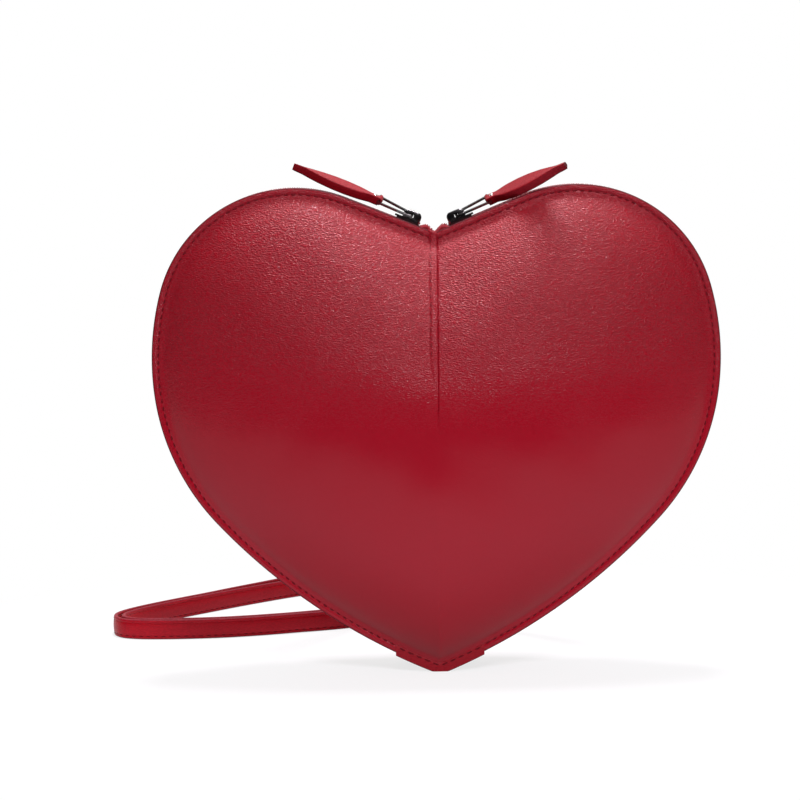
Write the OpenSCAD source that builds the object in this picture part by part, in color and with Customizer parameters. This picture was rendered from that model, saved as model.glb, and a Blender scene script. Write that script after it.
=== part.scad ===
// Heart shaped leather purse. It stands on its point: X runs to the right of its front, Y to its
// back, Z up. The origin lies under the point, halfway between the front and the back.

/* [Heart outline] */
// Slope of the straight stretch beside the cleft, in degrees
cleft_slope = 22; // [18:0.5:26]
// Length of the straight stretch beside the cleft, on which a slider runs
cleft_run = 40; // [39:1:46]
// Radius of each upper lobe
lobe_r = 58; // [52:1:64]
// Slope at which each lobe passes into its flank, in degrees below level
lobe_drop = 74.5; // [70:0.5:79]
// Radius of the flank under each lobe
flank_r = 112; // [104:1:124]
// Turn of the flank, in degrees
flank_turn = 21; // [19:0.5:23]
// Radius of the hip, where the side turns in towards the point
hip_r = 98; // [90:1:106]
// Turn of the hip, in degrees
hip_turn = 37; // [34:0.5:39]
// Radius of the long lower side
lower_r = 256; // [230:1:300]
// Radius of the point at the bottom
tip_r = 8; // [7:0.5:11]

/* [Depth] */
// Distance between the inner faces of the two panel rims
band_w = 19; // [17:0.5:26]
// How far each dome stands out from its rim
bulge = 24; // [18:0.5:30]
// Width of the flat rim of a panel, which is sewn to the band
rim_w = 5; // [4.5:0.25:6.5]
// Height of the middle of each dome above the floor
dome_z = 100; // [92:1:108]

/* [Leather and cloth] */
// Thickness of the panel leather
panel_t = 1.7; // [1.2:0.1:2.2]
// Thickness of the gusset leather
gusset_t = 1.2; // [0.9:0.1:1.5]
// Thickness of the zip tape
tape_t = 0.6; // [0.5:0.05:0.7]
// Thickness of the lining
lining_t = 0.5; // [0.4:0.05:0.7]
// Thickness of the patch round the point
patch_t = 1.2; // [0.8:0.1:1.6]
// Half the length of the patch, measured across the purse
patch_reach = 18.7; // [15:0.1:24]
// Width of the flat on which the point stands
foot_w = 7; // [5:0.5:8]
// Width of the dart's seam allowance
dart_w = 3.2; // [2.5:0.1:4]
// Thickness of the dart's seam allowance
dart_t = 0.8; // [0.5:0.1:1.2]
// Height of the mouth of the slip pocket above the floor
pocket_z = 138; // [120:1:150]
// Distance of the slip pocket from the middle plane
pocket_y = 17; // [14:0.5:20]

/* [Zip] */
// How far the tape lies inside the edge of the panels
tape_in = 0.6; // [0.5:0.05:0.8]
// Width of one row of teeth
teeth_w = 3; // [2.6:0.1:3.4]
// How far the teeth stand out past the edge of the panels
teeth_out = 0.4; // [0.3:0.05:0.5]
// Thickness of a row of teeth
teeth_t = 2; // [1.9:0.05:2.3]
// Height of one tooth over the gap beside it
tooth_h = 0.5; // [0.3:0.05:0.8]
// Distance from one tooth to the next
tooth_pitch = 2.6; // [2.2:0.1:4]
// Length of a bottom stop
stop_len = 5; // [4:0.5:7]

/* [Sliders] */
// Distance of each closed slider from the cleft, along the zip
slider_at = 12.4; // [12.4:0.1:14]
// Length of a slider
slider_len = 11.2; // [10:0.2:11.2]
// Thickness of a slider's plates
plate_t = 0.8; // [0.6:0.05:0.9]
// Width of a slider's turned edges
lip_w = 0.9; // [0.7:0.05:1.2]
// Thickness of the post between the plates
post_w = 1; // [0.8:0.05:1.1]
// Length of the post
post_len = 3; // [2:0.1:4]
// Length of the bridge over the upper plate
bridge_len = 7.8; // [7.4:0.1:8]
// Width of the bridge
bridge_w = 1.8; // [1.5:0.05:2]
// Thickness of the bridge
bridge_t = 0.8; // [0.6:0.05:1]
// Height of the gap under the bridge
bridge_gap = 2.8; // [2.7:0.05:3.2]

/* [Pulls] */
// Length of a link, from the middle of its pivot to the middle of its bar
link_len = 15.2; // [14:0.1:16]
// Thickness of a link
link_t = 0.9; // [0.7:0.05:1]
// Width of each leg of a link
leg_w = 0.9; // [0.7:0.05:1]
// Gap between the legs at the bar
link_gap = 5.6; // [5.4:0.1:6.5]
// Diameter of the pivot of a link
pivot_d = 1.1; // [0.9:0.05:1.1]
// Diameter of the bar that carries the leather
bar_d = 1.6; // [1.4:0.05:1.7]
// Length of a leather pull, from the bar to its cut end
tab_len = 38.5; // [34:0.5:44]
// Greatest width of a leather pull
tab_w = 9.4; // [8:0.1:10]
// Thickness of each of its two plies
ply_t = 1.45; // [1.4:0.05:1.7]
// Diameter of the pin behind the bar
pin_d = 1.3; // [1:0.05:1.5]
// Lean of the left link away from the zip, in degrees
left_lean = 4.5; // [3:0.5:6]
// Lean of the right link away from the zip, in degrees
right_lean = 3; // [2:0.5:5]
// Roll of the links towards the front, in degrees
link_roll = 22; // [10:0.5:22]
// How far the left leather droops from the line of its link, in degrees
left_droop = 4; // [0:0.5:5]
// How far the right leather droops from the line of its link, in degrees
right_droop = 1; // [0:0.5:2]
// Roll of the left leather towards the front, in degrees
left_roll = 22; // [10:0.5:26]
// Roll of the right leather towards the front, in degrees
right_roll = 30; // [20:0.5:32]
// How far the right leather is turned on its bar towards the front, in degrees
right_turn = 28; // [20:0.5:30]

/* [Strap] */
// Width of the strap
strap_w = 9; // [8:0.25:9]
// Thickness of the strap
strap_t = 2.4; // [1.8:0.1:2.8]
// Width of a strap anchor
anchor_w = 14; // [12:0.5:18]
// Height of a strap anchor
anchor_h = 22; // [18:0.5:26]
// Thickness of a strap anchor
anchor_t = 1.4; // [1:0.1:1.8]
// Distance of a strap anchor outwards from the middle of a lobe
anchor_out = 23.4; // [19:0.2:27]
// Height of a strap anchor over the middle of a lobe
anchor_up = 7.8; // [4:0.2:12]

/* [Hidden] */

// Running clearance of what moves or is laid beside something curved
fit = 0.3;
// Overrun of every cut
over = 1;

// Steps of the outline: the straight run, the lobe, the flank, the hip, the lower side, the point
run_n = 4;
lobe_n = 18;
flank_n = 4;
hip_n = 9;
lower_n = 7;
tip_n = 3;
zip_n = run_n + lobe_n + flank_n + hip_n;
half_n = zip_n + lower_n + tip_n;

// An arc leaves point p with heading h and turns clockwise with radius r
function arc_centre(p, h, r) = [p.x + r * sin(h), p.y - r * cos(h)];
function on_arc(c, h, r) = [c.x - r * sin(h), c.y + r * cos(h)];
function arc_len(r, turn) = r * turn * PI / 180;

// Outline of the right half, measured from the cleft
run_end = [cleft_run * cos(cleft_slope), cleft_run * sin(cleft_slope)];
lobe_c = arc_centre(run_end, cleft_slope, lobe_r);
side_h = -lobe_drop;
lobe_end = on_arc(lobe_c, side_h, lobe_r);
flank_c = arc_centre(lobe_end, side_h, flank_r);
widest_x = flank_c.x + flank_r;
flank_h = side_h - flank_turn;
flank_end = on_arc(flank_c, flank_h, flank_r);
hip_c = arc_centre(flank_end, flank_h, hip_r);
hip_h = flank_h - hip_turn;
hip_end = on_arc(hip_c, hip_h, hip_r);
lower_c = arc_centre(hip_end, hip_h, lower_r);
lower_h = -180 - asin(lower_c.x / (lower_r - tip_r));
tip_c = [0, lower_c.y - sqrt(pow(lower_r - tip_r, 2) - pow(lower_c.x, 2))];

// The patch is cut flat under the point, and that flat is the floor
patch_r = tip_r + patch_t;
foot_rise = patch_r - sqrt(pow(patch_r, 2) - pow(foot_w / 2, 2));
cleft_z = patch_r - foot_rise - tip_c.y;

// One point of the right half, at a depth d inside the edge
function run_point(k, d) =
    let (from = [0, -d / cos(cleft_slope)],
         to = [run_end.x + d * sin(cleft_slope), run_end.y - d * cos(cleft_slope)])
    from + (to - from) * k;
function turn_point(c, h0, h1, r, k, d) = on_arc(c, h0 + (h1 - h0) * k, r - d);
function raise(p) = [p.x, p.y + cleft_z];
function half(d) = [
    for (i = [0:run_n]) raise(run_point(i / run_n, d)),
    for (i = [1:lobe_n]) raise(turn_point(lobe_c, cleft_slope, side_h, lobe_r, i / lobe_n, d)),
    for (i = [1:flank_n]) raise(turn_point(flank_c, side_h, flank_h, flank_r, i / flank_n, d)),
    for (i = [1:hip_n]) raise(turn_point(hip_c, flank_h, hip_h, hip_r, i / hip_n, d)),
    for (i = [1:lower_n]) raise(turn_point(lower_c, hip_h, lower_h, lower_r, i / lower_n, d)),
    for (i = [1:tip_n]) raise(turn_point(tip_c, lower_h, -180, tip_r, i / tip_n, d))
];

function flip(pts) = [for (p = pts) [-p.x, p.y]];
function reversed(pts) = [for (i = [len(pts) - 1:-1:0]) pts[i]];
function part_of(pts, i0, i1) = [for (i = [i0:i1]) pts[i]];
function whole_loop(d) =
    let (h = half(d)) concat(h, reversed(flip(part_of(h, 1, half_n - 1))));
function over_top(d) =
    let (h = half(d)) concat(reversed(flip(part_of(h, 1, zip_n))), part_of(h, 0, zip_n));
function under_bottom(d, more = 0) =
    let (h = part_of(half(d), zip_n - more, half_n)) concat(h, reversed(flip(part_of(h, 0, len(h) - 2))));

// A flat shape drawn in the plane of the heart, from depth y0 to depth y1
module slab(y0, y1) {
    translate([0, y1, 0])
        rotate([90, 0, 0])
            linear_extrude(y1 - y0)
                children();
}

module strip(outer, inner) {
    polygon(concat(outer, reversed(inner)));
}

// The dome of a panel: rings of the outline drawn in towards one point, each ring at its height
dome_shares = [0.955, 0.89, 0.8, 0.68, 0.53, 0.36, 0.18];
dome_power_share = 0.8;
dome_r = widest_x - rim_w;
rim_y = band_w / 2 + panel_t;
function dome_rise(s) = bulge * pow(1 - s * s, dome_power_share);
function dome_fall(s) = 2 * s * bulge * dome_power_share * pow(1 - s * s, dome_power_share - 1);
function dome_angle(s) = atan(dome_fall(s) / dome_r);
dome_c = [0, dome_z];

// Under the middle of the dome the rings turn from the pointed outline into circles
function roundness(p, s) = (1 - s) * max(dome_z - p.y, 0) / dome_z;
function drawn_in(pts, s) = [
    for (p = pts)
        let (arm = p - dome_c, k = roundness(p, s))
        dome_c + (arm * (1 - k) + arm / norm(arm) * dome_z * k) * s
];

// A ring of the dome, sunk by a depth that is measured square to the leather
function ring_at(s, sunk) =
    let (a = dome_angle(s),
         ring = drawn_in(whole_loop(rim_w), s - sunk * sin(a) / dome_r),
         y = rim_y + dome_rise(s) - sunk * cos(a))
    [for (p = ring) [p.x, y, p.y]];
function at_depth(pts, y) = [for (p = pts) [p.x, y, p.y]];

// One skin of a dome, from its edge to its middle, and the middle itself as the last point
function skin(edge_in, rim_in, y, sunk) = concat(
    at_depth(whole_loop(edge_in), y),
    at_depth(whole_loop(rim_in), y),
    [for (s = dome_shares) each ring_at(s, sunk)],
    [[0, rim_y + bulge - sunk, dome_z]]
);

// The two skins of a dome joined at its edge, with the dome towards +Y
module dome_shell(outer, inner) {
    loop_n = 2 * half_n;
    rings = (len(outer) - 1) / loop_n;
    top = len(outer) - 1;
    shift = len(outer);
    outer_faces = [
        for (k = [0:rings - 2], i = [0:loop_n - 1])
            let (j = (i + 1) % loop_n, a = k * loop_n, b = a + loop_n)
            each [[a + i, b + i, b + j], [a + i, b + j, a + j]],
        for (i = [0:loop_n - 1])
            let (j = (i + 1) % loop_n, a = (rings - 1) * loop_n) [a + i, top, a + j]
    ];
    edge_faces = [
        for (i = [0:loop_n - 1])
            let (j = (i + 1) % loop_n) each [[i, j, shift + j], [i, shift + j, shift + i]]
    ];
    inner_faces = [for (f = outer_faces) [shift + f[0], shift + f[2], shift + f[1]]];
    polyhedron(concat(outer, inner), concat(outer_faces, edge_faces, inner_faces));
}

module panel() {
    dome_shell(
        skin(0, rim_w, rim_y, 0),
        skin(0, rim_w + panel_t / 2, band_w / 2, panel_t)
    );
}

// The lining follows the inside of the panel, and its rim lies on the gusset's turned edge
lining_y = band_w / 2 - gusset_t;
lining_edge = rim_w / 2;
lining_rim = tape_in + rim_w + gusset_t;
lining_sunk = panel_t + fit;
module lining() {
    dome_shell(
        skin(lining_edge, lining_rim, lining_y, lining_sunk),
        skin(lining_edge, lining_rim + lining_t / 2, lining_y - lining_t, lining_sunk + lining_t)
    );
}

// The dart's seam allowance lies on the left side of the seam, from the cleft to the dome's middle
dart_shares = [1, 0.955, 0.89, 0.8, 0.68, 0.53, 0.36, 0.2, 0.07];
dart_width_shares = [1, 1, 1, 1, 1, 1, 0.95, 0.75, 0.25];
rim_cleft_z = cleft_z - rim_w / cos(cleft_slope);
function dart_row(z, y, wide, thick) =
    let (side = wide * tan(cleft_slope))
    [[0, y, z], [-wide, y, z + side], [-wide, y + thick, z + side], [0, y + thick, z]];
module dart() {
    rows = concat(
        [dart_row(cleft_z, rim_y, dart_w, dart_t)],
        [for (i = [0:len(dart_shares) - 1])
            let (s = dart_shares[i], k = dart_width_shares[i])
            dart_row(dome_z + (rim_cleft_z - dome_z) * s, rim_y + dome_rise(s), dart_w * k, dart_t * k)]
    );
    tube(rows);
}

// A closed tube through rows of points, one row after the other
module tube(rows) {
    n = len(rows[0]);
    last = (len(rows) - 1) * n;
    sides = [
        for (k = [0:len(rows) - 2], i = [0:n - 1])
            let (a = k * n, b = a + n, j = (i + 1) % n)
            each [[a + i, a + j, b + j], [a + i, b + j, b + i]]
    ];
    ends = [
        for (i = [1:n - 2]) [0, i + 1, i],
        for (i = [1:n - 2]) [last, last + i, last + i + 1]
    ];
    polyhedron([for (r = rows) each r], concat(sides, ends));
}

// Half of the zip's tape: its outer wall, and its edge turned in behind a panel's rim
turn_in = tape_in + rim_w;
module zip_tape() {
    slab(teeth_w, band_w / 2)
        strip(over_top(tape_in), over_top(tape_in + tape_t));
    slab(band_w / 2 - tape_t, band_w / 2)
        strip(over_top(tape_in), over_top(turn_in));
}

// The gusset is a channel: both its edges are turned in behind the panels' rims
module gusset() {
    side = band_w / 2 - gusset_t;
    color([0.55, 0.06, 0.12])
        difference() {
            slab(-band_w / 2, band_w / 2)
                strip(under_bottom(tape_in), under_bottom(turn_in));
            slab(-side, side)
                strip(under_bottom(tape_in + gusset_t, 1), under_bottom(turn_in + over, 1));
        }
}

module gusset_lining() {
    side = lining_y - lining_t - fit;
    from = tape_in + gusset_t + fit;
    color([0.2, 0.17, 0.17])
        slab(-side, side)
            strip(under_bottom(from), under_bottom(from + lining_t));
}

// Folded round the point, over the rims of both panels
module tip_patch() {
    side = rim_y + patch_t;
    color([0.5, 0.05, 0.11])
        difference() {
            slab(-side, side)
                strip(under_bottom(-patch_t), under_bottom(rim_w * flap_share));
            slab(-rim_y, rim_y)
                strip(under_bottom(0), under_bottom(rim_w));
            for (m = [0, 1])
                mirror([m, 0, 0])
                    translate([patch_reach, -side - over, -over])
                        cube([widest_x, 2 * (side + over), dome_z]);
            translate([-patch_reach, -side - over, -patch_r])
                cube([2 * patch_reach, 2 * (side + over), patch_r]);
        }
}
flap_share = 0.72;

// Places on the zip's path: l is measured along the edge from the cleft, d is the depth inside it
run_to = cleft_run;
lobe_to = run_to + arc_len(lobe_r, cleft_slope - side_h);
flank_to = lobe_to + arc_len(flank_r, flank_turn);
zip_to = flank_to + arc_len(hip_r, hip_turn);
function turned(l, r) = l / r * 180 / PI;
function along_zip(l, d) = raise(
    l <= run_to ? [l * cos(cleft_slope) + d * sin(cleft_slope), l * sin(cleft_slope) - d * cos(cleft_slope)]
    : l <= lobe_to ? on_arc(lobe_c, cleft_slope - turned(l - run_to, lobe_r), lobe_r - d)
    : l <= flank_to ? on_arc(flank_c, side_h - turned(l - lobe_to, flank_r), flank_r - d)
    : on_arc(hip_c, flank_h - turned(l - flank_to, hip_r), hip_r - d)
);

// One row of teeth follows the zip, and its fellow's teeth stand half a pitch further on
tooth_shares = [0.1, 0.3, 0.6, 0.8];
tooth_rise_shares = [0, 1, 1, 0];
teeth_to = zip_to - stop_len - fit;
teeth_gap = post_w / 2 + fit;
function teeth_edge(offset_share) =
    let (n = floor(teeth_to / tooth_pitch - offset_share - 1))
    [for (k = [1:n], i = [0:len(tooth_shares) - 1])
        along_zip((k + offset_share + tooth_shares[i]) * tooth_pitch,
                  tooth_h - teeth_out - tooth_h * tooth_rise_shares[i])];
function teeth_half(offset_share) = concat(
    [raise(run_point(0, tooth_h - teeth_out))],
    teeth_edge(offset_share),
    [along_zip(teeth_to, tooth_h - teeth_out)]
);
function teeth_back() =
    let (step = teeth_to / zip_n)
    concat([raise(run_point(0, teeth_t - teeth_out))],
           [for (i = [1:zip_n]) along_zip(i * step, teeth_t - teeth_out)]);
module zip_teeth(offset_share) {
    outer = teeth_half(offset_share);
    inner = teeth_back();
    color([0.6, 0.05, 0.1])
        difference() {
            slab(fit / 2, teeth_w)
                strip(concat(reversed(flip(part_of(outer, 1, len(outer) - 1))), outer),
                      concat(reversed(flip(part_of(inner, 1, len(inner) - 1))), inner));
            slab(-over, teeth_gap)
                strip(concat(reversed(flip(run_cut(-over))), run_cut(-over)),
                      concat(reversed(flip(run_cut(teeth_t + over))), run_cut(teeth_t + over)));
        }
}
function run_cut(d) = [raise(run_point(0, d)), raise(run_point(1, d))];

// The stop is clamped round both rows of teeth where they end
module zip_stop() {
    l = zip_to - stop_len;
    step = stop_len / 2;
    color([0.25, 0.25, 0.27])
        slab(-teeth_w + fit, teeth_w - fit)
            strip([for (i = [0:2]) along_zip(l + i * step, -teeth_out)],
                  [for (i = [0:2]) along_zip(l + i * step, teeth_t - teeth_out)]);
}

// Places on a slider: x along the zip away from the cleft, z square to the edge of the panels
plate_z = teeth_out + fit;
plate_top = plate_z + plate_t;
lower_z = teeth_out - teeth_t - fit;
lip_y = teeth_w + fit;
slider_y = lip_y + lip_w;
nose_share = 0.86;
bridge_from = -slider_len / 2 + fit;
bridge_to = bridge_from + bridge_len;
pivot_x = bridge_from + bridge_len * 0.53;
pivot_z = plate_top + bridge_gap * 0.54;

module on_zip() {
    translate([slider_at * cos(cleft_slope), 0, cleft_z + slider_at * sin(cleft_slope)])
        rotate([0, -cleft_slope, 0])
            children();
}

// Outline of a plate from above: full width at the post, a little narrower at the other end
module plate(z, t) {
    corner = lip_w;
    translate([0, 0, z])
        linear_extrude(t)
            polygon([
                [-slider_len / 2, -slider_y + corner], [-slider_len / 2 + corner, -slider_y],
                [slider_len / 2 - corner, -slider_y], [slider_len / 2, -slider_y * nose_share],
                [slider_len / 2, slider_y * nose_share], [slider_len / 2 - corner, slider_y],
                [-slider_len / 2 + corner, slider_y], [-slider_len / 2, slider_y - corner]
            ]);
}

module lip(side, z0, z1) {
    edge = lip_w;
    translate([-slider_len / 2 + edge, side > 0 ? lip_y : -slider_y, z0])
        cube([slider_len - 2 * edge, lip_w, z1 - z0]);
}

module slider() {
    color([0.2, 0.2, 0.22])
        on_zip()
            union() {
                plate(plate_z, plate_t);
                plate(lower_z - plate_t, plate_t);
                for (side = [-1, 1]) {
                    lip(side, fit - tape_in, plate_z);
                    lip(side, lower_z, -tape_in - tape_t - fit);
                }
                translate([-slider_len / 2 + fit, -post_w / 2, lower_z])
                    cube([post_len, post_w, plate_z - lower_z]);
            }
}

// The bridge stands on the upper plate, and the link's pivot lies under it
module bridge() {
    x0 = bridge_from;
    x1 = bridge_to;
    z1 = bridge_gap;
    t = bridge_t;
    color([0.22, 0.22, 0.24])
        on_zip()
            translate([0, bridge_w / 2, plate_top])
                rotate([90, 0, 0])
                    linear_extrude(bridge_w)
                        polygon([
                            [x0, 0], [x0, z1 - t], [x0 + 2 * t, z1 + t], [x1 - 3 * t, z1 + t],
                            [x1 - t, z1], [x1, z1 - t], [x1, 0], [x1 - t, 0], [x1 - t, z1 - 2 * t],
                            [x1 - 2 * t, z1], [x0 + 2 * t, z1], [x0 + t, z1 - t], [x0 + t, 0]
                        ]);
}

// Places on a link: x along it from the pivot, y across
module on_pivot(lean, roll = link_roll) {
    on_zip()
        translate([pivot_x, 0, pivot_z])
            rotate([0, -lean, 0])
                rotate([roll, 0, 0])
                    children();
}

module on_bar(lean) {
    on_pivot(lean)
        translate([link_len, 0, 0])
            children();
}

module across(d, length) {
    rotate([90, 0, 0])
        cylinder(h = length, d = d, center = true, $fn = 24);
}

module link(lean) {
    near = bridge_w / 2 + fit;
    far = link_gap / 2;
    tail = pivot_d / 2;
    color([0.28, 0.28, 0.3])
        union() {
            on_pivot(lean)
                for (m = [0, 1])
                    mirror([0, m, 0])
                        translate([0, 0, -link_t / 2])
                            linear_extrude(link_t)
                                polygon([
                                    [-tail, near], [link_len, far], [link_len, far + leg_w],
                                    [-tail, near + leg_w]
                                ]);
            on_pivot(lean, 0)
                across(pivot_d, 2 * near + leg_w);
            on_bar(lean)
                across(bar_d, 2 * (far + leg_w));
        }
}

// Each leather lies on its bar in its own way: lean of its link, then its droop, turn and roll
left_way = [left_lean, left_droop, 0, left_roll];
right_way = [right_lean, right_droop, -right_turn, right_roll];

// Places on a leather pull: x along it from the bar, y across, z square to the leather
module on_leather(way) {
    on_pivot(way[0], 0)
        translate([link_len, 0, 0])
            rotate([0, way[1], 0])
                rotate([0, 0, way[2]])
                    rotate([way[3], 0, 0])
                        children();
}

// The leather pull is a leaf with a narrow neck at the bar and a small square-cut end
neck_y = link_gap / 2 - fit;
tab_len_shares = [0, 0.03, 0.1, 0.22, 0.38, 0.52, 0.68, 0.8, 0.88, 1];
tab_width_shares = [0, 0, 0.5, 0.84, 1, 0.98, 0.78, 0.5, 0.3, 0.24];
module ply(z) {
    edge = [for (i = [0:len(tab_len_shares) - 1])
        [tab_len * tab_len_shares[i], i < 2 ? neck_y : tab_w / 2 * max(tab_width_shares[i], 0)]];
    translate([0, 0, z])
        linear_extrude(ply_t)
            polygon(concat(edge, reversed([for (p = edge) [p.x, -p.y]])));
}

// The hole in which the bar lies, and the hole of the pin behind it
pin_x = bar_d / 2 + pin_d;
module tab_holes(way) {
    on_bar(way[0])
        across(bar_d + fit, tab_w);
    on_leather(way)
        translate([pin_x, 0, -ply_t - over])
            cylinder(h = 2 * (ply_t + over), d = pin_d + fit / 2, $fn = 24);
}

// The upper ply carries the fold round the bar, which is a little narrower and thicker than the neck
fold_d = 2 * ply_t + fit;
module tab_upper(way) {
    color([0.62, 0.06, 0.13])
        difference() {
            union() {
                on_leather(way)
                    ply(0);
                on_bar(way[0])
                    intersection() {
                        across(fold_d, 2 * (neck_y - fit));
                        translate([-fold_d, -tab_w, -fold_d])
                            cube([fold_d + fit, 2 * tab_w, 2 * fold_d]);
                    }
            }
            tab_holes(way);
        }
}

// The lower ply is cut off square just behind the fold
module tab_lower(way) {
    color([0.58, 0.05, 0.12])
        difference() {
            on_leather(way)
                ply(-ply_t);
            tab_holes(way);
            on_bar(way[0])
                translate([-tab_w, -tab_w, -tab_w])
                    cube([tab_w + 2 * fit, 2 * tab_w, 2 * tab_w]);
        }
}

module tab_pin(way) {
    color([0.7, 0.7, 0.72])
        on_leather(way)
            translate([pin_x, 0, -ply_t - fit / 2])
                cylinder(h = 2 * ply_t + fit, d = pin_d, $fn = 24);
}

// Height of the dome over the floor plane of its rim, at a place on one of the lobes
function on_lobe(x, z) =
    let (c = raise(lobe_c) - [0, dome_z],
         p = [x, z - dome_z],
         q = c * c - pow(lobe_r - rim_w, 2),
         s = (p * c - sqrt(pow(p * c, 2) - q * (p * p))) / q)
    rim_y + dome_rise(s);

// A leather pad sewn on the back, which follows the dome under it
anchor_x = lobe_c.x + anchor_out;
anchor_z = cleft_z + lobe_c.y + anchor_up;
module anchor() {
    step_n = 4;
    rows = [for (i = [0:step_n])
        let (z = anchor_z - anchor_h / 2 + anchor_h * i / step_n,
             xs = [for (k = [0:step_n]) anchor_x - anchor_w / 2 + anchor_w * k / step_n])
        concat([for (x = xs) [x, on_lobe(x, z) + fit, z]],
               reversed([for (x = xs) [x, on_lobe(x, z) + fit + anchor_t, z]]))];
    color([0.55, 0.05, 0.12])
        tube(rows);
}

// Route of the strap, in three turns: down from the left anchor, twice round the loop on the
// floor, and up to the right anchor. The last three numbers say which way its width points.
strap_out = anchor_t + 2 * fit + strap_t / 2;
pad_slope = (on_lobe(anchor_x + strap_w / 2, anchor_z) - on_lobe(anchor_x - strap_w / 2, anchor_z)) / strap_w;
function on_pad(side, share) =
    let (z = anchor_z + anchor_h / 2 * share)
    [[side * anchor_x, on_lobe(anchor_x, z) + strap_out, z], [-side, -pad_slope, 0]];
strap_route = [
    on_pad(-1, 0.8),
    on_pad(-1, -0.3),
    [[-80, 31, 133], [1, 0.12, 0]],
    [[-72, 40, 108], [1, 0, 0.2]],
    [[-59, 57, 78], [1, 0, 0.6]],
    [[-41, 83, 47], [0.5, 0, 1]],
    [[-24, 113, 23], [0.2, 0, 1]],
    [[-14, 140, 9.5], [0, 0, 1]],
    [[-17, 163, 5], [0, 0, 1]],
    [[-33, 177.5, 4.6], [0, 0, 1]],
    [[-55.5, 175.5, 4.6], [0, 0, 1]],
    [[-82, 155, 4.6], [0, 0, 1]],
    [[-108.7, 128.5, 4.6], [0, 0, 1]],
    [[-131, 104, 4.6], [0, 0, 1]],
    [[-143.7, 84.7, 4.6], [0, 0, 1]],
    [[-141.4, 72.9, 4.6], [0, 0, 1]],
    [[-127.9, 69, 4.6], [0, 0, 1]],
    [[-97.2, 70.6, 4.6], [0, 0, 1]],
    [[-63.2, 80.1, 4.6], [0, 0, 1]],
    [[-31.5, 94.4, 4.6], [0, 0, 1]],
    [[-3.3, 110.4, 4.6], [0, 0, 1]],
    [[16.8, 130, 4.6], [0, 0, 1]],
    [[18.8, 156, 4.6], [0, 0, 1]],
    [[2.8, 179.6, 4.6], [0, 0, 1]],
    [[-27.3, 191.3, 4.6], [0, 0, 1]],
    [[-59.7, 183.8, 4.6], [0, 0, 1]],
    [[-85, 160.6, 4.6], [0, 0, 1]],
    [[-111.5, 131.2, 4.6], [0, 0, 1]],
    [[-134, 106.4, 4.6], [0, 0, 1]],
    [[-147.3, 86, 4.6], [0, 0, 1]],
    [[-144.3, 70.5, 4.6], [0, 0, 1]],
    [[-127.9, 65.2, 4.6], [0, 0, 1]],
    [[-96.3, 66.9, 4.6], [0, 0, 1]],
    [[-61.8, 76.4, 4.7], [0, 0, 1]],
    [[-27.4, 89, 5.6], [0, 0, 1]],
    [[5, 88, 16], [-0.2, 0, 1]],
    [[34, 74, 42], [-0.5, 0, 1]],
    [[58, 54, 77], [-1, 0, 0.6]],
    [[73, 39, 109], [-1, 0, 0.2]],
    [[80.5, 30.5, 134], [-1, 0.12, 0]],
    on_pad(1, -0.3),
    on_pad(1, 0.8)
];
strap_bevel_share = 0.3;
function unit(v) = v / norm(v);
function between(a, b, c, d) = (b + c) * 9 / 16 - (a + d) / 16;
function route_row(i) = strap_route[min(max(i, 0), len(strap_route) - 1)];
function route_halfway(i, k) =
    between(route_row(i - 1)[k], route_row(i)[k], route_row(i + 1)[k], route_row(i + 2)[k]);
strap_line = [
    for (i = [0:len(strap_route) - 2]) each [strap_route[i], [route_halfway(i, 0), route_halfway(i, 1)]],
    strap_route[len(strap_route) - 1]
];
function strap_ring(i) =
    let (n = len(strap_line) - 1,
         p = strap_line[i][0],
         ahead = unit(strap_line[min(i + 1, n)][0] - strap_line[max(i - 1, 0)][0]),
         hint = strap_line[i][1],
         wide = unit(hint - ahead * (hint * ahead)),
         thick = cross(ahead, wide),
         w = strap_w / 2,
         t = strap_t / 2,
         b = strap_t * strap_bevel_share)
    [for (k = [[w, t - b], [w - b, t], [b - w, t], [-w, t - b],
               [-w, b - t], [b - w, -t], [w - b, -t], [w, b - t]])
        p + wide * k.x + thick * k.y];
module strap() {
    color([0.6, 0.06, 0.13])
        tube([for (i = [0:len(strap_line) - 1]) strap_ring(i)]);
}

// The slip pocket is a flat piece sewn across the back lining, open at its top. Its edge follows the
// ring of the lining that lies at the pocket's distance from the middle plane.
pocket_sunk = lining_sunk + lining_t;
function share_at(y, drop) = sqrt(1 - pow((y + drop - rim_y) / bulge, 1 / dome_power_share));
pocket_angle = dome_angle(share_at(pocket_y, pocket_sunk));
pocket_edge = share_at(pocket_y, pocket_sunk * cos(pocket_angle))
    - (pocket_sunk * sin(pocket_angle) + fit * 2) / dome_r;
module inner_pocket() {
    color([0.23, 0.19, 0.19])
        slab(pocket_y - lining_t, pocket_y)
            difference() {
                polygon(drawn_in(whole_loop(rim_w), pocket_edge));
                translate([-widest_x, pocket_z])
                    square([2 * widest_x, cleft_z]);
            }
}

leather = [0.6, 0.06, 0.13];
cloth = [0.2, 0.17, 0.17];
tape = [0.55, 0.05, 0.1];

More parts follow.
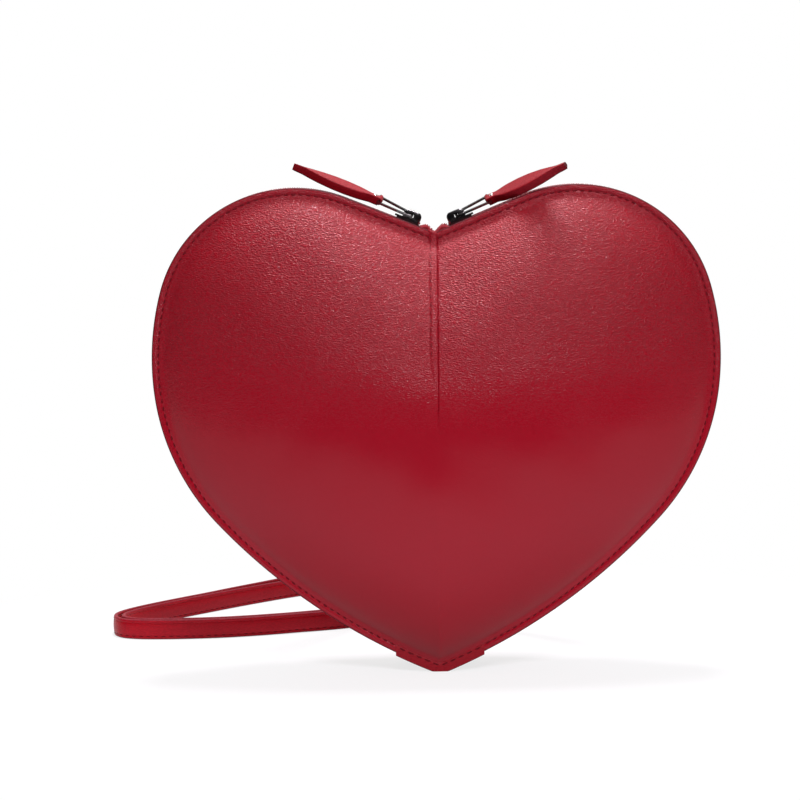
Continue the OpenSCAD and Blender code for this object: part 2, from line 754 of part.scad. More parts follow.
color(leather) mirror([0, 1, 0]) panel();  // front_panel
color(leather) panel();  // back_panel
color(leather) mirror([0, 1, 0]) dart();  // front_dart
color(leather) dart();  // back_dart
color(cloth) mirror([0, 1, 0]) lining();  // front_lining
color(cloth) lining();  // back_lining
inner_pocket();
gusset();
gusset_lining();
tip_patch();
color(tape) mirror([0, 1, 0]) zip_tape();  // front_zip_tape
color(tape) zip_tape();  // back_zip_tape
mirror([0, 1, 0]) zip_teeth(0);  // front_zip_teeth
zip_teeth(1 / 2);  // back_zip_teeth
mirror([1, 0, 0]) zip_stop();  // left_zip_stop
zip_stop();  // right_zip_stop
mirror([1, 0, 0]) slider();  // left_slider
mirror([1, 0, 0]) bridge();  // left_bridge
mirror([1, 0, 0]) link(left_lean);  // left_link
mirror([1, 0, 0]) tab_upper(left_way);  // left_tab_upper
mirror([1, 0, 0]) tab_lower(left_way);  // left_tab_lower
mirror([1, 0, 0]) tab_pin(left_way);  // left_tab_pin
slider();  // right_slider
bridge();  // right_bridge
link(right_lean);  // right_link
tab_upper(right_way);  // right_tab_upper
tab_lower(right_way);  // right_tab_lower
tab_pin(right_way);  // right_tab_pin
mirror([1, 0, 0]) anchor();  // left_anchor
anchor();  // right_anchor
strap();
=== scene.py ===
"""Dresses a packed heart shaped purse: leather, stitching, zip, sliders, pulls and strap.

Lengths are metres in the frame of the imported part: X to the right of the front, Y to the back, Z up.
The front panel faces -Y. Every shape of the purse follows the outline in the class Heart.
SHARP is the bend over which an edge stays sharp, and SIDE_SHARE the most of a side that one
rounded corner takes.
"""

import logging
import math
from dataclasses import dataclass, field
from enum import Enum
from typing import Callable, Iterable, Sequence

import bmesh
import bpy
import numpy as np
from mathutils import Matrix, Vector


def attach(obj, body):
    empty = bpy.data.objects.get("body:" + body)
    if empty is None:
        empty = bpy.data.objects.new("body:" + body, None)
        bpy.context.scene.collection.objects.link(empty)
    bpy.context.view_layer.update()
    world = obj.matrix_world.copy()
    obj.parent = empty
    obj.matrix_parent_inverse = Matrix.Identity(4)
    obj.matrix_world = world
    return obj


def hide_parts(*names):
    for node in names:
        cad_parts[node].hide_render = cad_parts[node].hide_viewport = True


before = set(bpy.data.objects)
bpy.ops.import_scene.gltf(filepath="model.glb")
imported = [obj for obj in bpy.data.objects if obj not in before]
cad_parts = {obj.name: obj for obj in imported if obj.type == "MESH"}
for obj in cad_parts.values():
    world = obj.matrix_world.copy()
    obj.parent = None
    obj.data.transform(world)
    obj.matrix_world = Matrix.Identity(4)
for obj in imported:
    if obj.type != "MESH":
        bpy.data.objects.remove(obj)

LOG = logging.getLogger("purse")
MM = 0.001
SHARP = math.radians(52)
SIDE_SHARE = 0.49

Array = np.ndarray
Point = tuple[float, float, float]


class Side(Enum):
    """Which side of the purse a piece belongs to, as the sign of its X or Y."""

    LEFT = -1
    RIGHT = 1
    FRONT = -2
    BACK = 2

    @property
    def sign(self) -> int:
        """Minus one for left and front, one for right and back."""
        return -1 if self.value < 0 else 1

    @property
    def word(self) -> str:
        """The side's name as the nodes spell it."""
        return self.name.lower()


@dataclass(frozen=True)
class Arc:
    """A stretch of the outline that turns clockwise round a centre."""

    centre: tuple[float, float]
    start: float
    end: float
    radius: float

    @property
    def length(self) -> float:
        """Length along the edge."""
        return self.radius * (self.start - self.end)

    def at(self, share: Array, depth: Array) -> tuple[Array, Array]:
        """Points a share of the way along, at a depth inside the edge.

        Args:
            share: from 0 at the start to 1 at the end.
            depth: distance inside the edge.

        Returns:
            X and Z of the points.
        """
        heading = self.start + (self.end - self.start) * share
        reach = self.radius - depth
        return self.centre[0] - reach * np.sin(heading), self.centre[1] + reach * np.cos(heading)


@dataclass(frozen=True)
class Heart:
    """The outline of a panel and the dome inside it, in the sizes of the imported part."""

    cleft_slope: float = math.radians(22)
    cleft_run: float = 40 * MM
    lobe_r: float = 58 * MM
    lobe_drop: float = math.radians(74.5)
    flank_r: float = 112 * MM
    flank_turn: float = math.radians(21)
    hip_r: float = 98 * MM
    hip_turn: float = math.radians(37)
    lower_r: float = 256 * MM
    tip_r: float = 8 * MM
    foot_w: float = 7 * MM
    patch_t: float = 1.2 * MM
    band_w: float = 19 * MM
    bulge: float = 24 * MM
    rim_w: float = 5 * MM
    dome_z: float = 100 * MM
    panel_t: float = 1.7 * MM
    dome_power: float = 0.8
    rim_softness: float = 1.5 * MM
    beyond: float = 20 * MM
    samples: int = 2400
    seam_foot: float = 105 * MM
    seam_run: float = 80 * MM
    seam_lean: float = 0.9 * MM
    arcs: tuple[Arc, ...] = field(init=False)
    cleft_z: float = field(init=False)

    def __post_init__(self) -> None:
        """Chains the arcs from the cleft to the point, and stands the point on the floor."""
        run, slope = self.cleft_run, self.cleft_slope
        run_end = (run * math.cos(slope), run * math.sin(slope))
        side = -self.lobe_drop
        lobe = self._next(run_end, self.cleft_slope, side, self.lobe_r)
        flank_h = side - self.flank_turn
        flank = self._next(self._end(lobe), side, flank_h, self.flank_r)
        hip_h = flank_h - self.hip_turn
        hip = self._next(self._end(flank), flank_h, hip_h, self.hip_r)
        lower = self._next(self._end(hip), hip_h, 0.0, self.lower_r)
        lower_h = -math.pi - math.asin(lower.centre[0] / (self.lower_r - self.tip_r))
        lower = Arc(lower.centre, hip_h, lower_h, self.lower_r)
        tip_z = lower.centre[1] - math.sqrt((self.lower_r - self.tip_r) ** 2 - lower.centre[0] ** 2)
        tip = Arc((0.0, tip_z), lower_h, -math.pi, self.tip_r)
        object.__setattr__(self, "arcs", (lobe, flank, hip, lower, tip))
        patch_r = self.tip_r + self.patch_t
        foot_rise = patch_r - math.sqrt(patch_r**2 - (self.foot_w / 2) ** 2)
        object.__setattr__(self, "cleft_z", patch_r - foot_rise - tip_z)

    @staticmethod
    def _next(start: tuple[float, float], heading: float, end: float, radius: float) -> Arc:
        """An arc that leaves a point with a heading and turns clockwise to another."""
        centre = (start[0] + radius * math.sin(heading), start[1] - radius * math.cos(heading))
        return Arc(centre, heading, end, radius)

    @staticmethod
    def _end(arc: Arc) -> tuple[float, float]:
        """The last point of an arc."""
        return (
            arc.centre[0] - arc.radius * math.sin(arc.end),
            arc.centre[1] + arc.radius * math.cos(arc.end),
        )

    @property
    def rim_y(self) -> float:
        """Distance of a rim's outer face from the middle plane."""
        return self.band_w / 2 + self.panel_t

    @property
    def dome_r(self) -> float:
        """Middle radius of the dome."""
        return self.arcs[1].centre[0] + self.flank_r - self.rim_w

    @property
    def half_length(self) -> float:
        """Length of the edge from the cleft to the point."""
        return self.cleft_run + sum(a.length for a in self.arcs)

    @property
    def zip_length(self) -> float:
        """Length of the edge from the cleft to the end of the zip."""
        return self.cleft_run + sum(a.length for a in self.arcs[:3])

    def edge(self, along: Array, depth: Array | float = 0.0) -> tuple[Array, Array]:
        """Points of the outline.

        Args:
            along: distance along the edge from the cleft, negative on the left half.
            depth: distance inside the edge, negative outside it.

        Returns:
            X and Z of the points.
        """
        along = np.asarray(along, dtype=float)
        depth = np.broadcast_to(np.asarray(depth, dtype=float), along.shape)
        dist = np.abs(along)
        slope = self.cleft_slope
        k = np.clip(dist / self.cleft_run, 0, 1)
        x_end = self.cleft_run * math.cos(slope) + depth * math.sin(slope)
        z_end = self.cleft_run * math.sin(slope) - depth * math.cos(slope)
        z_start = -depth / math.cos(slope)
        x, z = x_end * k, z_start + (z_end - z_start) * k
        passed = self.cleft_run
        for arc in self.arcs:
            share = np.clip((dist - passed) / arc.length, 0, 1)
            ax, az = arc.at(share, depth)
            here = dist > passed
            x, z = np.where(here, ax, x), np.where(here, az, z)
            passed += arc.length
        return np.where(along < 0, -x, x), z + self.cleft_z

    def drawn_in(self, x: Array, z: Array, share: Array) -> tuple[Array, Array]:
        """Draws a ring in towards the middle of the dome, rounder and rounder below it."""
        arm_x, arm_z = x, z - self.dome_z
        length = np.hypot(arm_x, arm_z)
        k = (1 - share) * np.maximum(self.dome_z - z, 0) / self.dome_z
        grow = (1 - k) + self.dome_z / length * k
        return arm_x * grow * share, self.dome_z + arm_z * grow * share

    def _profile(self) -> tuple[Array, Array]:
        """Rise of the dome over the distance from its edge, softly bent where it leaves the rim."""
        total = self.rim_w + self.dome_r
        inward = np.linspace(-self.beyond, total, self.samples)
        share = np.clip(1 - (inward - self.rim_w) / self.dome_r, 0, 1)
        rise = self.bulge * (1 - share**2) ** self.dome_power
        step = inward[1] - inward[0]
        reach = int(4 * self.rim_softness / step)  # four widths hold the whole bell
        kernel = np.exp(-0.5 * (np.arange(-reach, reach + 1) * step / self.rim_softness) ** 2)
        padded = np.concatenate([np.full(reach, rise[0]), rise, rise[::-1][:reach]])
        return inward, np.convolve(padded, kernel / kernel.sum(), mode="valid")

    def dome(self, along: Array, inward: Array, sunk: float = 0.0) -> Array:
        """Points of a panel's skin on the back of the purse.

        Args:
            along: distance along the edge from the cleft, negative on the left half.
            inward: distance in from the edge along the middle radius, 0 to rim_w + dome_r.
            sunk: depth below the outer skin, measured square to the leather.

        Returns:
            An array of points, one row of three for each pair of the arguments.
        """
        grid, rise = self._profile()
        slope = np.interp(inward, grid, np.gradient(rise, grid))
        angle = np.arctan(slope)
        y = self.rim_y + np.interp(inward, grid, rise) - sunk * np.cos(angle)
        moved = inward + sunk * np.sin(angle)
        share = np.clip(1 - (moved - self.rim_w) / self.dome_r, 0, 1)
        rim_x, rim_z = self.edge(along, np.minimum(moved, self.rim_w))
        x, z = self.drawn_in(rim_x, rim_z, share)
        return np.stack([x, y, z], axis=-1)

    def lobe_height(self, x: Array | float, z: Array | float) -> Array:
        """Distance of a panel's outer skin from the middle plane at a place on the right lobe."""
        grid, rise = self._profile()
        middle = self.arcs[0].centre
        cx, cz = middle[0], middle[1] + self.cleft_z - self.dome_z
        px, pz = np.asarray(x, dtype=float), np.asarray(z, dtype=float) - self.dome_z
        q = cx**2 + cz**2 - (self.lobe_r - self.rim_w) ** 2
        dot = px * cx + pz * cz
        share = (dot - np.sqrt(dot**2 - q * (px**2 + pz**2))) / q
        return self.rim_y + np.interp(self.rim_w + (1 - share) * self.dome_r, grid, rise)

    def dome_height(self, x: Array, z: Array) -> Array:
        """Distance of a panel's outer skin from the middle plane at a place near the dart's seam."""
        grid, rise = self._profile()
        low = self.cleft_z - self.rim_w / math.cos(self.cleft_slope)
        share = (z - np.abs(x) * math.tan(self.cleft_slope) - self.dome_z) / (low - self.dome_z)
        inward = np.where(
            share <= 1,
            self.rim_w + (1 - share) * self.dome_r,
            self.rim_w - (share - 1) * (low - self.dome_z) * math.cos(self.cleft_slope),
        )
        return self.rim_y + np.interp(inward, grid, rise)

    def seam_x(self, z: Array) -> Array:
        """How far to the right of the middle a dart's seam runs at a height."""
        return self.seam_lean * (z - self.seam_foot) / self.seam_run


HEART = Heart()


@dataclass(frozen=True)
class Fittings:
    """Where the sliders and the strap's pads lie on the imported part."""

    slider_at: float = 12.4 * MM
    pad_out: float = 23.4 * MM
    pad_up: float = 7.8 * MM
    pad_height: float = 22 * MM

    @property
    def pad(self) -> tuple[float, float]:
        """X and Z of the middle of the right pad."""
        lobe = HEART.arcs[0].centre
        return lobe[0] + self.pad_out, HEART.cleft_z + lobe[1] + self.pad_up

    def on_zip(self, local: Array) -> Array:
        """Points of the right slider's own frame, X along the zip and Z off it, in the purse's."""
        ahead, off = local[..., 0] + self.slider_at, local[..., 2]
        c, s = math.cos(HEART.cleft_slope), math.sin(HEART.cleft_slope)
        x, z = ahead * c - off * s, ahead * s + off * c + HEART.cleft_z
        return np.stack([x, local[..., 1], z], axis=-1)


FITTINGS = Fittings()


class Value:
    """A socket of a tree of nodes, on which Python's own operators add Math nodes."""

    def __init__(self, maker: "Nodes", socket: bpy.types.NodeSocket) -> None:
        """Wraps one output socket of the nodes that are being made."""
        self.maker = maker
        self.socket = socket

    def output(self, name: str) -> "Value":
        """Another output of the same node."""
        return Value(self.maker, self.socket.node.outputs[name])

    def _math(self, operation: str, *others: "Value | float") -> "Value":
        """Adds one Math node."""
        return self.maker.add("ShaderNodeMath", {"operation": operation}, self, *others)

    def __add__(self, other: "Value | float") -> "Value":
        """Self plus other."""
        return self._math("ADD", other)

    def __radd__(self, other: float) -> "Value":
        """Other plus self."""
        return self._math("ADD", other)

    def __sub__(self, other: "Value | float") -> "Value":
        """Self minus other."""
        return self._math("SUBTRACT", other)

    def __rsub__(self, other: float) -> "Value":
        """Other minus self."""
        return self.maker.add("ShaderNodeMath", {"operation": "SUBTRACT"}, other, self)

    def __mul__(self, other: "Value | float") -> "Value":
        """Self times other."""
        return self._math("MULTIPLY", other)

    def __rmul__(self, other: float) -> "Value":
        """Other times self."""
        return self._math("MULTIPLY", other)

    def most(self, other: "Value | float") -> "Value":
        """The larger of the two."""
        return self._math("MAXIMUM", other)

    def sine(self) -> "Value":
        """Its sine."""
        return self._math("SINE")

    def step(self, low: float, high: float) -> "Value":
        """Zero below low, one above high, and smooth between; the two may be swapped."""
        settings = {"interpolation_type": "SMOOTHSTEP", "clamp": True}
        return self.maker.add("ShaderNodeMapRange", settings, self, low, high, 0.0, 1.0)

    def between(self, low: float, high: float, first: float, last: float) -> "Value":
        """From one number to another as it goes from low to high, and level beyond."""
        return self.maker.add("ShaderNodeMapRange", {"clamp": True}, self, low, high, first, last)


Input = Value | float | Sequence[float]
Colour = tuple[float, float, float, float]


class Nodes:
    """The nodes of a material or of the world while they are made."""

    def __init__(self, tree: bpy.types.NodeTree) -> None:
        """Starts with an empty tree."""
        self.tree = tree
        self.tree.nodes.clear()

    def add(self, kind: str, settings: dict | None = None, *inputs: Input, **named: Input) -> Value:
        """Adds a node.

        Args:
            kind: the node's type.
            settings: attributes that are set first, such as a Math node's operation.
            inputs: values or links for the inputs that are in use, in order.
            named: values or links for its inputs by name, with _ for a space.

        Returns:
            Its first output that is in use.
        """
        node = self.tree.nodes.new(kind)
        for key, setting in (settings or {}).items():
            setattr(node, key, setting)
        for socket, given in zip([s for s in node.inputs if s.enabled], inputs):
            self.join(socket, given)
        for key, given in named.items():
            self.join(node.inputs[key.replace("_", " ")], given)
        return Value(self, next(o for o in node.outputs if o.enabled))

    def join(self, socket: bpy.types.NodeSocket, given: Input) -> None:
        """Links a value to a socket, or sets the socket."""
        if isinstance(given, Value):
            self.tree.links.new(given.socket, socket)
        else:
            socket.default_value = given

    def end(self, kind: str, surface: Value) -> None:
        """Adds the tree's last node, and joins the finished surface to it."""
        self.join(self.tree.nodes.new(kind).inputs["Surface"], surface)

    def axes(self, place: Value) -> tuple[Value, Value, Value]:
        """X, Y and Z of a place."""
        x = self.add("ShaderNodeSeparateXYZ", {}, place)
        return x, x.output("Y"), x.output("Z")

    def shown(self) -> Value:
        """One for what the camera, a reflection or clear glass shows, and nought for plain light."""
        camera = self.add("ShaderNodeLightPath").output("Is Camera Ray")
        return camera.most(camera.output("Is Glossy Ray")).most(camera.output("Is Transmission Ray"))


class Shader(Nodes):
    """One material while it is made: its nodes, and the finished surface."""

    def __init__(self, name: str) -> None:
        """Starts an empty material."""
        self.material = bpy.data.materials.new(name)
        self.material.use_nodes = True
        super().__init__(self.material.node_tree)

    def place(self) -> Value:
        """The place on the object, in metres in the frame at rest."""
        return self.add("ShaderNodeTexCoord").output("Object")

    def stretched(self, place: Value, scale: Sequence[float]) -> Value:
        """The place scaled on each axis."""
        return self.add("ShaderNodeVectorMath", {"operation": "MULTIPLY"}, place, scale)

    def noise(self, place: Value, scale: float, detail: float, rough: float = 0.5) -> Value:
        """Soft noise from 0 to 1."""
        return self.add(
            "ShaderNodeTexNoise", {}, Vector=place, Scale=scale, Detail=detail, Roughness=rough
        )

    def mix(self, share: Input, one: Input, other: Input) -> Value:
        """A colour between two."""
        return self.add("ShaderNodeMix", {"data_type": "RGBA"}, share, one, other)

    def bump(self, height: Value, distance: float) -> Value:
        """Normals of a surface with fine relief."""
        return self.add("ShaderNodeBump", {}, Strength=1.0, Distance=distance, Height=height)

    def surface(self, **sockets: Input) -> bpy.types.Material:
        """Ends the material with a Principled surface.

        Args:
            sockets: its inputs by name, with _ for a space.

        Returns:
            The finished material.
        """
        self.end("ShaderNodeOutputMaterial", self.add("ShaderNodeBsdfPrincipled", {}, **sockets))
        return self.material


def rgb(red: int, green: int, blue: int) -> Colour:
    """A colour as a screen shows it, turned into linear light."""
    def linear(c: float) -> float:
        return c / 12.92 if c <= 0.04045 else ((c + 0.055) / 1.055) ** 2.4
    return (linear(red / 255), linear(green / 255), linear(blue / 255), 1.0)


def grey(level: float) -> Colour:
    """A grey of a level in linear light."""
    return (level, level, level, 1.0)


@dataclass(frozen=True)
class Grain:
    """The pattern that all the leather shares: fine waves that run across it, and pores.

    The scales of the noises are per metre. A broad noise has more detail than a fine one.
    """

    broad: float = 2.0
    fine: float = 1.0
    waves: float = 2350.0
    waves_stretch: Point = (0.36, 0.45, 1.0)
    waves_share: float = 0.68
    pores: float = 2300.0
    pores_rough: float = 0.6
    drift: float = 90.0
    drift_rough: float = 0.55
    drift_reach: Point = (0.0, 0.0, 0.5 * MM)
    patches: float = 14.0
    hollows: tuple[float, float] = (0.56, 0.42)
    # share of painted shade that darkens the hollows of the waves
    hollows_dark: float = 0.5


GRAIN = Grain()


@dataclass(frozen=True)
class Leather:
    """Leather: its three tones, its sheen, and the depth of its grain in millimetres.

    The third tone is painted shade, mixed into the hollows of the grain. The grain and that painted
    shade fade between the two heights in calmed, to the share in least below them.
    """

    colour: Colour
    second: Colour
    shade: Colour
    roughness: float
    specular: float
    grain: float
    calmed: tuple[float, float] = (-0.1, -0.05)
    least: float = 1.0
    dull: float = 0.08

    def material(self, name: str) -> bpy.types.Material:
        """Makes the material of this name."""
        s = Shader(name)
        place = s.place()
        drift = s.noise(place, GRAIN.drift, GRAIN.broad, GRAIN.drift_rough)
        drift = s.stretched(drift, GRAIN.drift_reach)
        bent = s.add("ShaderNodeVectorMath", {"operation": "ADD"}, place, drift)
        waves = s.noise(s.stretched(bent, GRAIN.waves_stretch), GRAIN.waves, GRAIN.fine)
        pores = s.noise(place, GRAIN.pores, GRAIN.fine, GRAIN.pores_rough)
        patchy = s.noise(place, GRAIN.patches, GRAIN.broad)
        raised = s.axes(place)[2].step(*self.calmed)
        lively = raised * (1 - self.least) + self.least
        fine = waves * GRAIN.waves_share + pores * (1 - GRAIN.waves_share)
        tone = s.mix(patchy, self.colour, self.second)
        # painted shade: the hollows of the waves are darkened towards the shade tone, fading with the
        # grain
        dark = waves.step(*GRAIN.hollows) * lively * GRAIN.hollows_dark
        return s.surface(
            Base_Color=s.mix(dark, tone, self.shade),
            Roughness=fine.step(*GRAIN.hollows) * lively * self.dull + self.roughness,
            Specular_IOR_Level=self.specular, Normal=s.bump(fine * lively, self.grain * MM),
        )


@dataclass(frozen=True)
class Plain:
    """A surface of one colour, such as thread or moulded coil."""

    colour: Colour
    roughness: float
    specular: float

    def material(self, name: str) -> bpy.types.Material:
        """Makes the material of this name."""
        return Shader(name).surface(
            Base_Color=self.colour, Roughness=self.roughness, Specular_IOR_Level=self.specular
        )


@dataclass(frozen=True)
class Plated:
    """Plated metal with faint wear in its polish."""

    colour: Colour
    roughness: float
    wear: float = 0.12
    wear_scale: float = 420.0
    wear_detail: float = 3.0
    wear_rough: float = 0.55

    def material(self, name: str) -> bpy.types.Material:
        """Makes the material of this name."""
        s = Shader(name)
        worn = s.noise(s.place(), self.wear_scale, self.wear_detail, self.wear_rough)
        rough = self.roughness + (worn - 0.5) * self.wear
        return s.surface(Base_Color=self.colour, Metallic=1.0, Roughness=rough)


@dataclass(frozen=True)
class Woven:
    """Cloth with a plain weave, whose yarns lie a pitch apart."""

    colour: Colour
    pitch: float
    slant: float = 0.5
    # share of the colour left in the hollows between the yarns, as painted shade
    hollows: float = 0.72
    hollow_ends: tuple[float, float] = (-0.6, 0.6)
    depth: float = 0.05 * MM
    roughness: float = 0.85
    specular: float = 0.25

    def material(self, name: str) -> bpy.types.Material:
        """Makes the material of this name."""
        s = Shader(name)
        turn = 2 * math.pi / self.pitch
        x, y, z = s.axes(s.place())
        rib = ((x + y) * turn).sine() * ((z - y * self.slant) * turn).sine()
        # painted shade: the hollows between the yarns take a darker copy of the colour
        dark = (*(c * self.hollows for c in self.colour[:3]), 1.0)
        return s.surface(
            Base_Color=s.mix(rib.step(*self.hollow_ends), dark, self.colour),
            Roughness=self.roughness, Specular_IOR_Level=self.specular,
            Normal=s.bump(rib, self.depth),
        )


# The panel's grain, and the painted shade in its hollows, fall to a tenth below about 0.1 m up.
PANEL = Leather(
    rgb(142, 10, 27), rgb(139, 9, 26), rgb(110, 5, 17), roughness=0.21, specular=0.24, grain=0.6,
    calmed=(0.098, 0.152), least=0.1, dull=0.42,
)
SMOOTH = Leather(rgb(142, 10, 24), rgb(135, 9, 22), rgb(117, 6, 18), 0.36, 0.2, 0.06)
# The strap's leather is the purse's red painted lighter: painted light that makes up for the shade the
# strap lies in behind the purse.
STRAP_PAINTED_LIGHTER = Leather(rgb(170, 12, 26), rgb(158, 10, 23), rgb(130, 7, 18), 0.36, 0.16, 0.06)
STRAP_EDGE = Leather(rgb(132, 22, 38), rgb(122, 18, 33), rgb(96, 10, 22), 0.5, 0.12, 0.02)
PULL = Leather(rgb(132, 10, 22), rgb(122, 9, 20), rgb(100, 6, 16), 0.5, 0.14, 0.08)
PAINT = Leather(rgb(88, 6, 18), rgb(78, 6, 16), rgb(60, 5, 12), 0.5, 0.1, 0.02)
THREAD = Plain(rgb(92, 4, 14), 0.7, 0.15)
LIGHT_THREAD = Plain(rgb(146, 9, 24), 0.6, 0.15)
COIL = Plain(rgb(126, 8, 22), 0.4, 0.3)
LINING = Woven(rgb(58, 50, 50), 0.7 * MM)
TAPE = Woven(rgb(128, 12, 26), 0.5 * MM)
BLACK_NICKEL = Plated(rgb(152, 149, 149), 0.17)
LINK = Plated(rgb(104, 102, 101), 0.18)
NICKEL = Plated(rgb(212, 208, 202), 0.18)


class Finishes:
    """All the materials, made once."""

    def __init__(self) -> None:
        """Makes every material."""
        self.panel = PANEL.material("panel_leather")
        self.smooth = SMOOTH.material("smooth_leather")
        self.strap = STRAP_PAINTED_LIGHTER.material("strap_leather")
        self.paint = PAINT.material("edge_paint")
        self.strap_edge = STRAP_EDGE.material("strap_edge_paint")
        self.pull = PULL.material("pull_leather")
        self.thread = THREAD.material("thread")
        self.light_thread = LIGHT_THREAD.material("light_thread")
        self.cloth = LINING.material("lining_cloth")
        self.tape = TAPE.material("tape_cloth")
        self.coil = COIL.material("coil")
        self.gunmetal = BLACK_NICKEL.material("black_nickel")
        self.wire = LINK.material("link_metal")
        self.nickel = NICKEL.material("nickel")


class Piece:
    """Points and faces of one piece while it is made."""

    def __init__(self, name: str, *materials: bpy.types.Material) -> None:
        """Starts an empty piece that has these materials."""
        self.name = name
        self.materials = materials
        self.points: list[Array] = []
        self.count = 0
        self.faces: list[Array] = []
        self.finish: list[Array] = []

    def add(self, points: Array) -> Array:
        """Adds points of any shape of array, and returns their numbers in the same shape."""
        flat = points.reshape(-1, 3)
        first = self.count
        self.points.append(flat)
        self.count += len(flat)
        return np.arange(first, self.count).reshape(points.shape[:-1])

    def net(self, numbers: Array, finish: int | Array = 0, around: bool = False) -> None:
        """Adds a face between each four neighbours of a table of point numbers.

        Args:
            numbers: rows and columns of point numbers.
            finish: number of the material, or an array of them that fits the faces' rows and columns.
            around: whether the last column joins the first.
        """
        table = np.hstack([numbers, numbers[:, :1]]) if around else numbers
        quads = np.stack([table[:-1, :-1], table[1:, :-1], table[1:, 1:], table[:-1, 1:]], axis=-1)
        self.faces.append(quads.reshape(-1, 4))
        self.finish.append(np.broadcast_to(finish, quads.shape[:2]).reshape(-1))

    def fan(self, ring: Array, centre: Array, finish: int = 0) -> None:
        """Closes a ring of points with triangles to one more point."""
        middle = int(self.add(np.asarray(centre, dtype=float).reshape(1, 3))[0])
        nxt = np.roll(ring, -1)
        triangles = np.stack([ring, nxt, np.full_like(ring, middle), np.full_like(ring, -1)], axis=-1)
        self.faces.append(triangles)
        self.finish.append(np.full(len(ring), finish))

    def tube(self, rows: Array, finish: int | Array = 0, end: int = 0) -> None:
        """Adds a closed tube through rings of points.

        Args:
            rows: rings, each with the same number of points.
            finish: number of the material, or one for each face round a ring.
            end: number of the material of its two ends.
        """
        numbers = self.add(rows)
        self.net(numbers, finish, around=True)
        self.fan(numbers[0], rows[0].mean(axis=0), end)
        self.fan(numbers[-1], rows[-1].mean(axis=0), end)

    def make(self, body: str, slot: str, *nodes: str) -> bpy.types.Object:
        """Turns the piece into an object of the scene, its faces turned outwards.

        Args:
            body: the body that it rides on.
            slot: the record's material slot; not used.
            nodes: the nodes that it stands for.

        Returns:
            The object.
        """
        mesh = bpy.data.meshes.new(self.name)
        quads = np.concatenate(self.faces)
        faces = [tuple(q[:3]) if q[3] < 0 else tuple(q) for q in quads.tolist()]
        mesh.from_pydata(np.concatenate(self.points).tolist(), [], faces)
        for material in self.materials:
            mesh.materials.append(material)
        mesh.polygons.foreach_set("material_index", np.concatenate(self.finish).astype(np.int32))
        mesh.polygons.foreach_set("use_smooth", np.ones(len(faces), dtype=bool))
        work = bmesh.new()
        work.from_mesh(mesh)
        bmesh.ops.recalc_face_normals(work, faces=work.faces)
        for edge in work.edges:
            edge.smooth = not (edge.is_manifold and edge.calc_face_angle() > SHARP)
        work.to_mesh(mesh)
        work.free()
        thing = bpy.data.objects.new(self.name, mesh)
        bpy.context.scene.collection.objects.link(thing)
        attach(thing, body)
        if nodes:
            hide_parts(*nodes)
        return thing


def unit(v: Array) -> Array:
    """Vectors of length one."""
    return v / np.maximum(np.linalg.norm(v, axis=-1, keepdims=True), 1e-12)


def halved(points: Array) -> Array:
    """Adds a point halfway between each two, on a smooth curve through them all."""
    padded = np.concatenate([points[:1], points, points[-1:]])
    between = (padded[1:-2] + padded[2:-1]) * 9 / 16 - (padded[:-3] + padded[3:]) / 16
    out = np.empty((2 * len(points) - 1, points.shape[1]))
    out[0::2], out[1::2] = points, between
    return out


def rounded(corners: Sequence[tuple[float, float]], radius: float, steps: int = 4) -> Array:
    """A closed outline with its corners rounded.

    Args:
        corners: the corners in turn.
        radius: radius of each corner, less where a side is too short for it.
        steps: points on each corner, less one.

    Returns:
        Its points, one row of two for each.
    """
    ring = np.asarray(corners, dtype=float)
    out = []
    for before, here, after in zip(np.roll(ring, 1, axis=0), ring, np.roll(ring, -1, axis=0)):
        one, other = unit(before - here), unit(after - here)
        half = math.acos(float(np.clip(one @ other, -1, 1))) / 2
        room = SIDE_SHARE * min(np.linalg.norm(before - here), np.linalg.norm(after - here))
        cut = min(radius / max(math.tan(half), 1e-6), room)
        for k in np.linspace(0, 1, steps + 1):
            out.append(here + one * cut * (1 - k) ** 2 + other * cut * k**2)
    return np.array(out)


@dataclass(frozen=True)
class Capsules:
    """Many small rounded rods in one piece: stitches."""

    length: float
    width: float
    arch: float = 0.35
    around: int = 6
    along: int = 6
    tip: float = 0.1

    def template(self) -> Array:
        """Rings of one rod along X, its ends lower than its middle."""
        t = np.linspace(-1, 1, self.along)
        thick = np.sqrt(np.maximum(1 - np.abs(t) ** 3, 0.0)) * (1 - self.tip) + self.tip
        turn = np.linspace(0, 2 * math.pi, self.around, endpoint=False)
        x = np.repeat(t[:, None] * self.length / 2, self.around, axis=1)
        y = np.outer(thick, np.cos(turn)) * self.width / 2
        z = np.outer(thick, np.sin(turn)) * self.width / 2 - (t[:, None] ** 2) * self.width * self.arch
        return np.stack([x, y, z], axis=-1)

    def sew(self, piece: Piece, places: Array, ahead: Array, out: Array, finish: int = 0) -> None:
        """Adds one rod at each place.

        Args:
            piece: the piece that gets them.
            places: their middles.
            ahead: directions in which they point.
            out: directions away from the leather.
            finish: number of the material.
        """
        ahead = unit(ahead)
        side = unit(np.cross(out, ahead))
        up = np.cross(ahead, side)
        shape = self.template()
        for place, a, s, u in zip(places, ahead, side, up):
            rows = place + shape[..., :1] * a + shape[..., 1:2] * s + shape[..., 2:] * u
            piece.tube(rows, finish, finish)


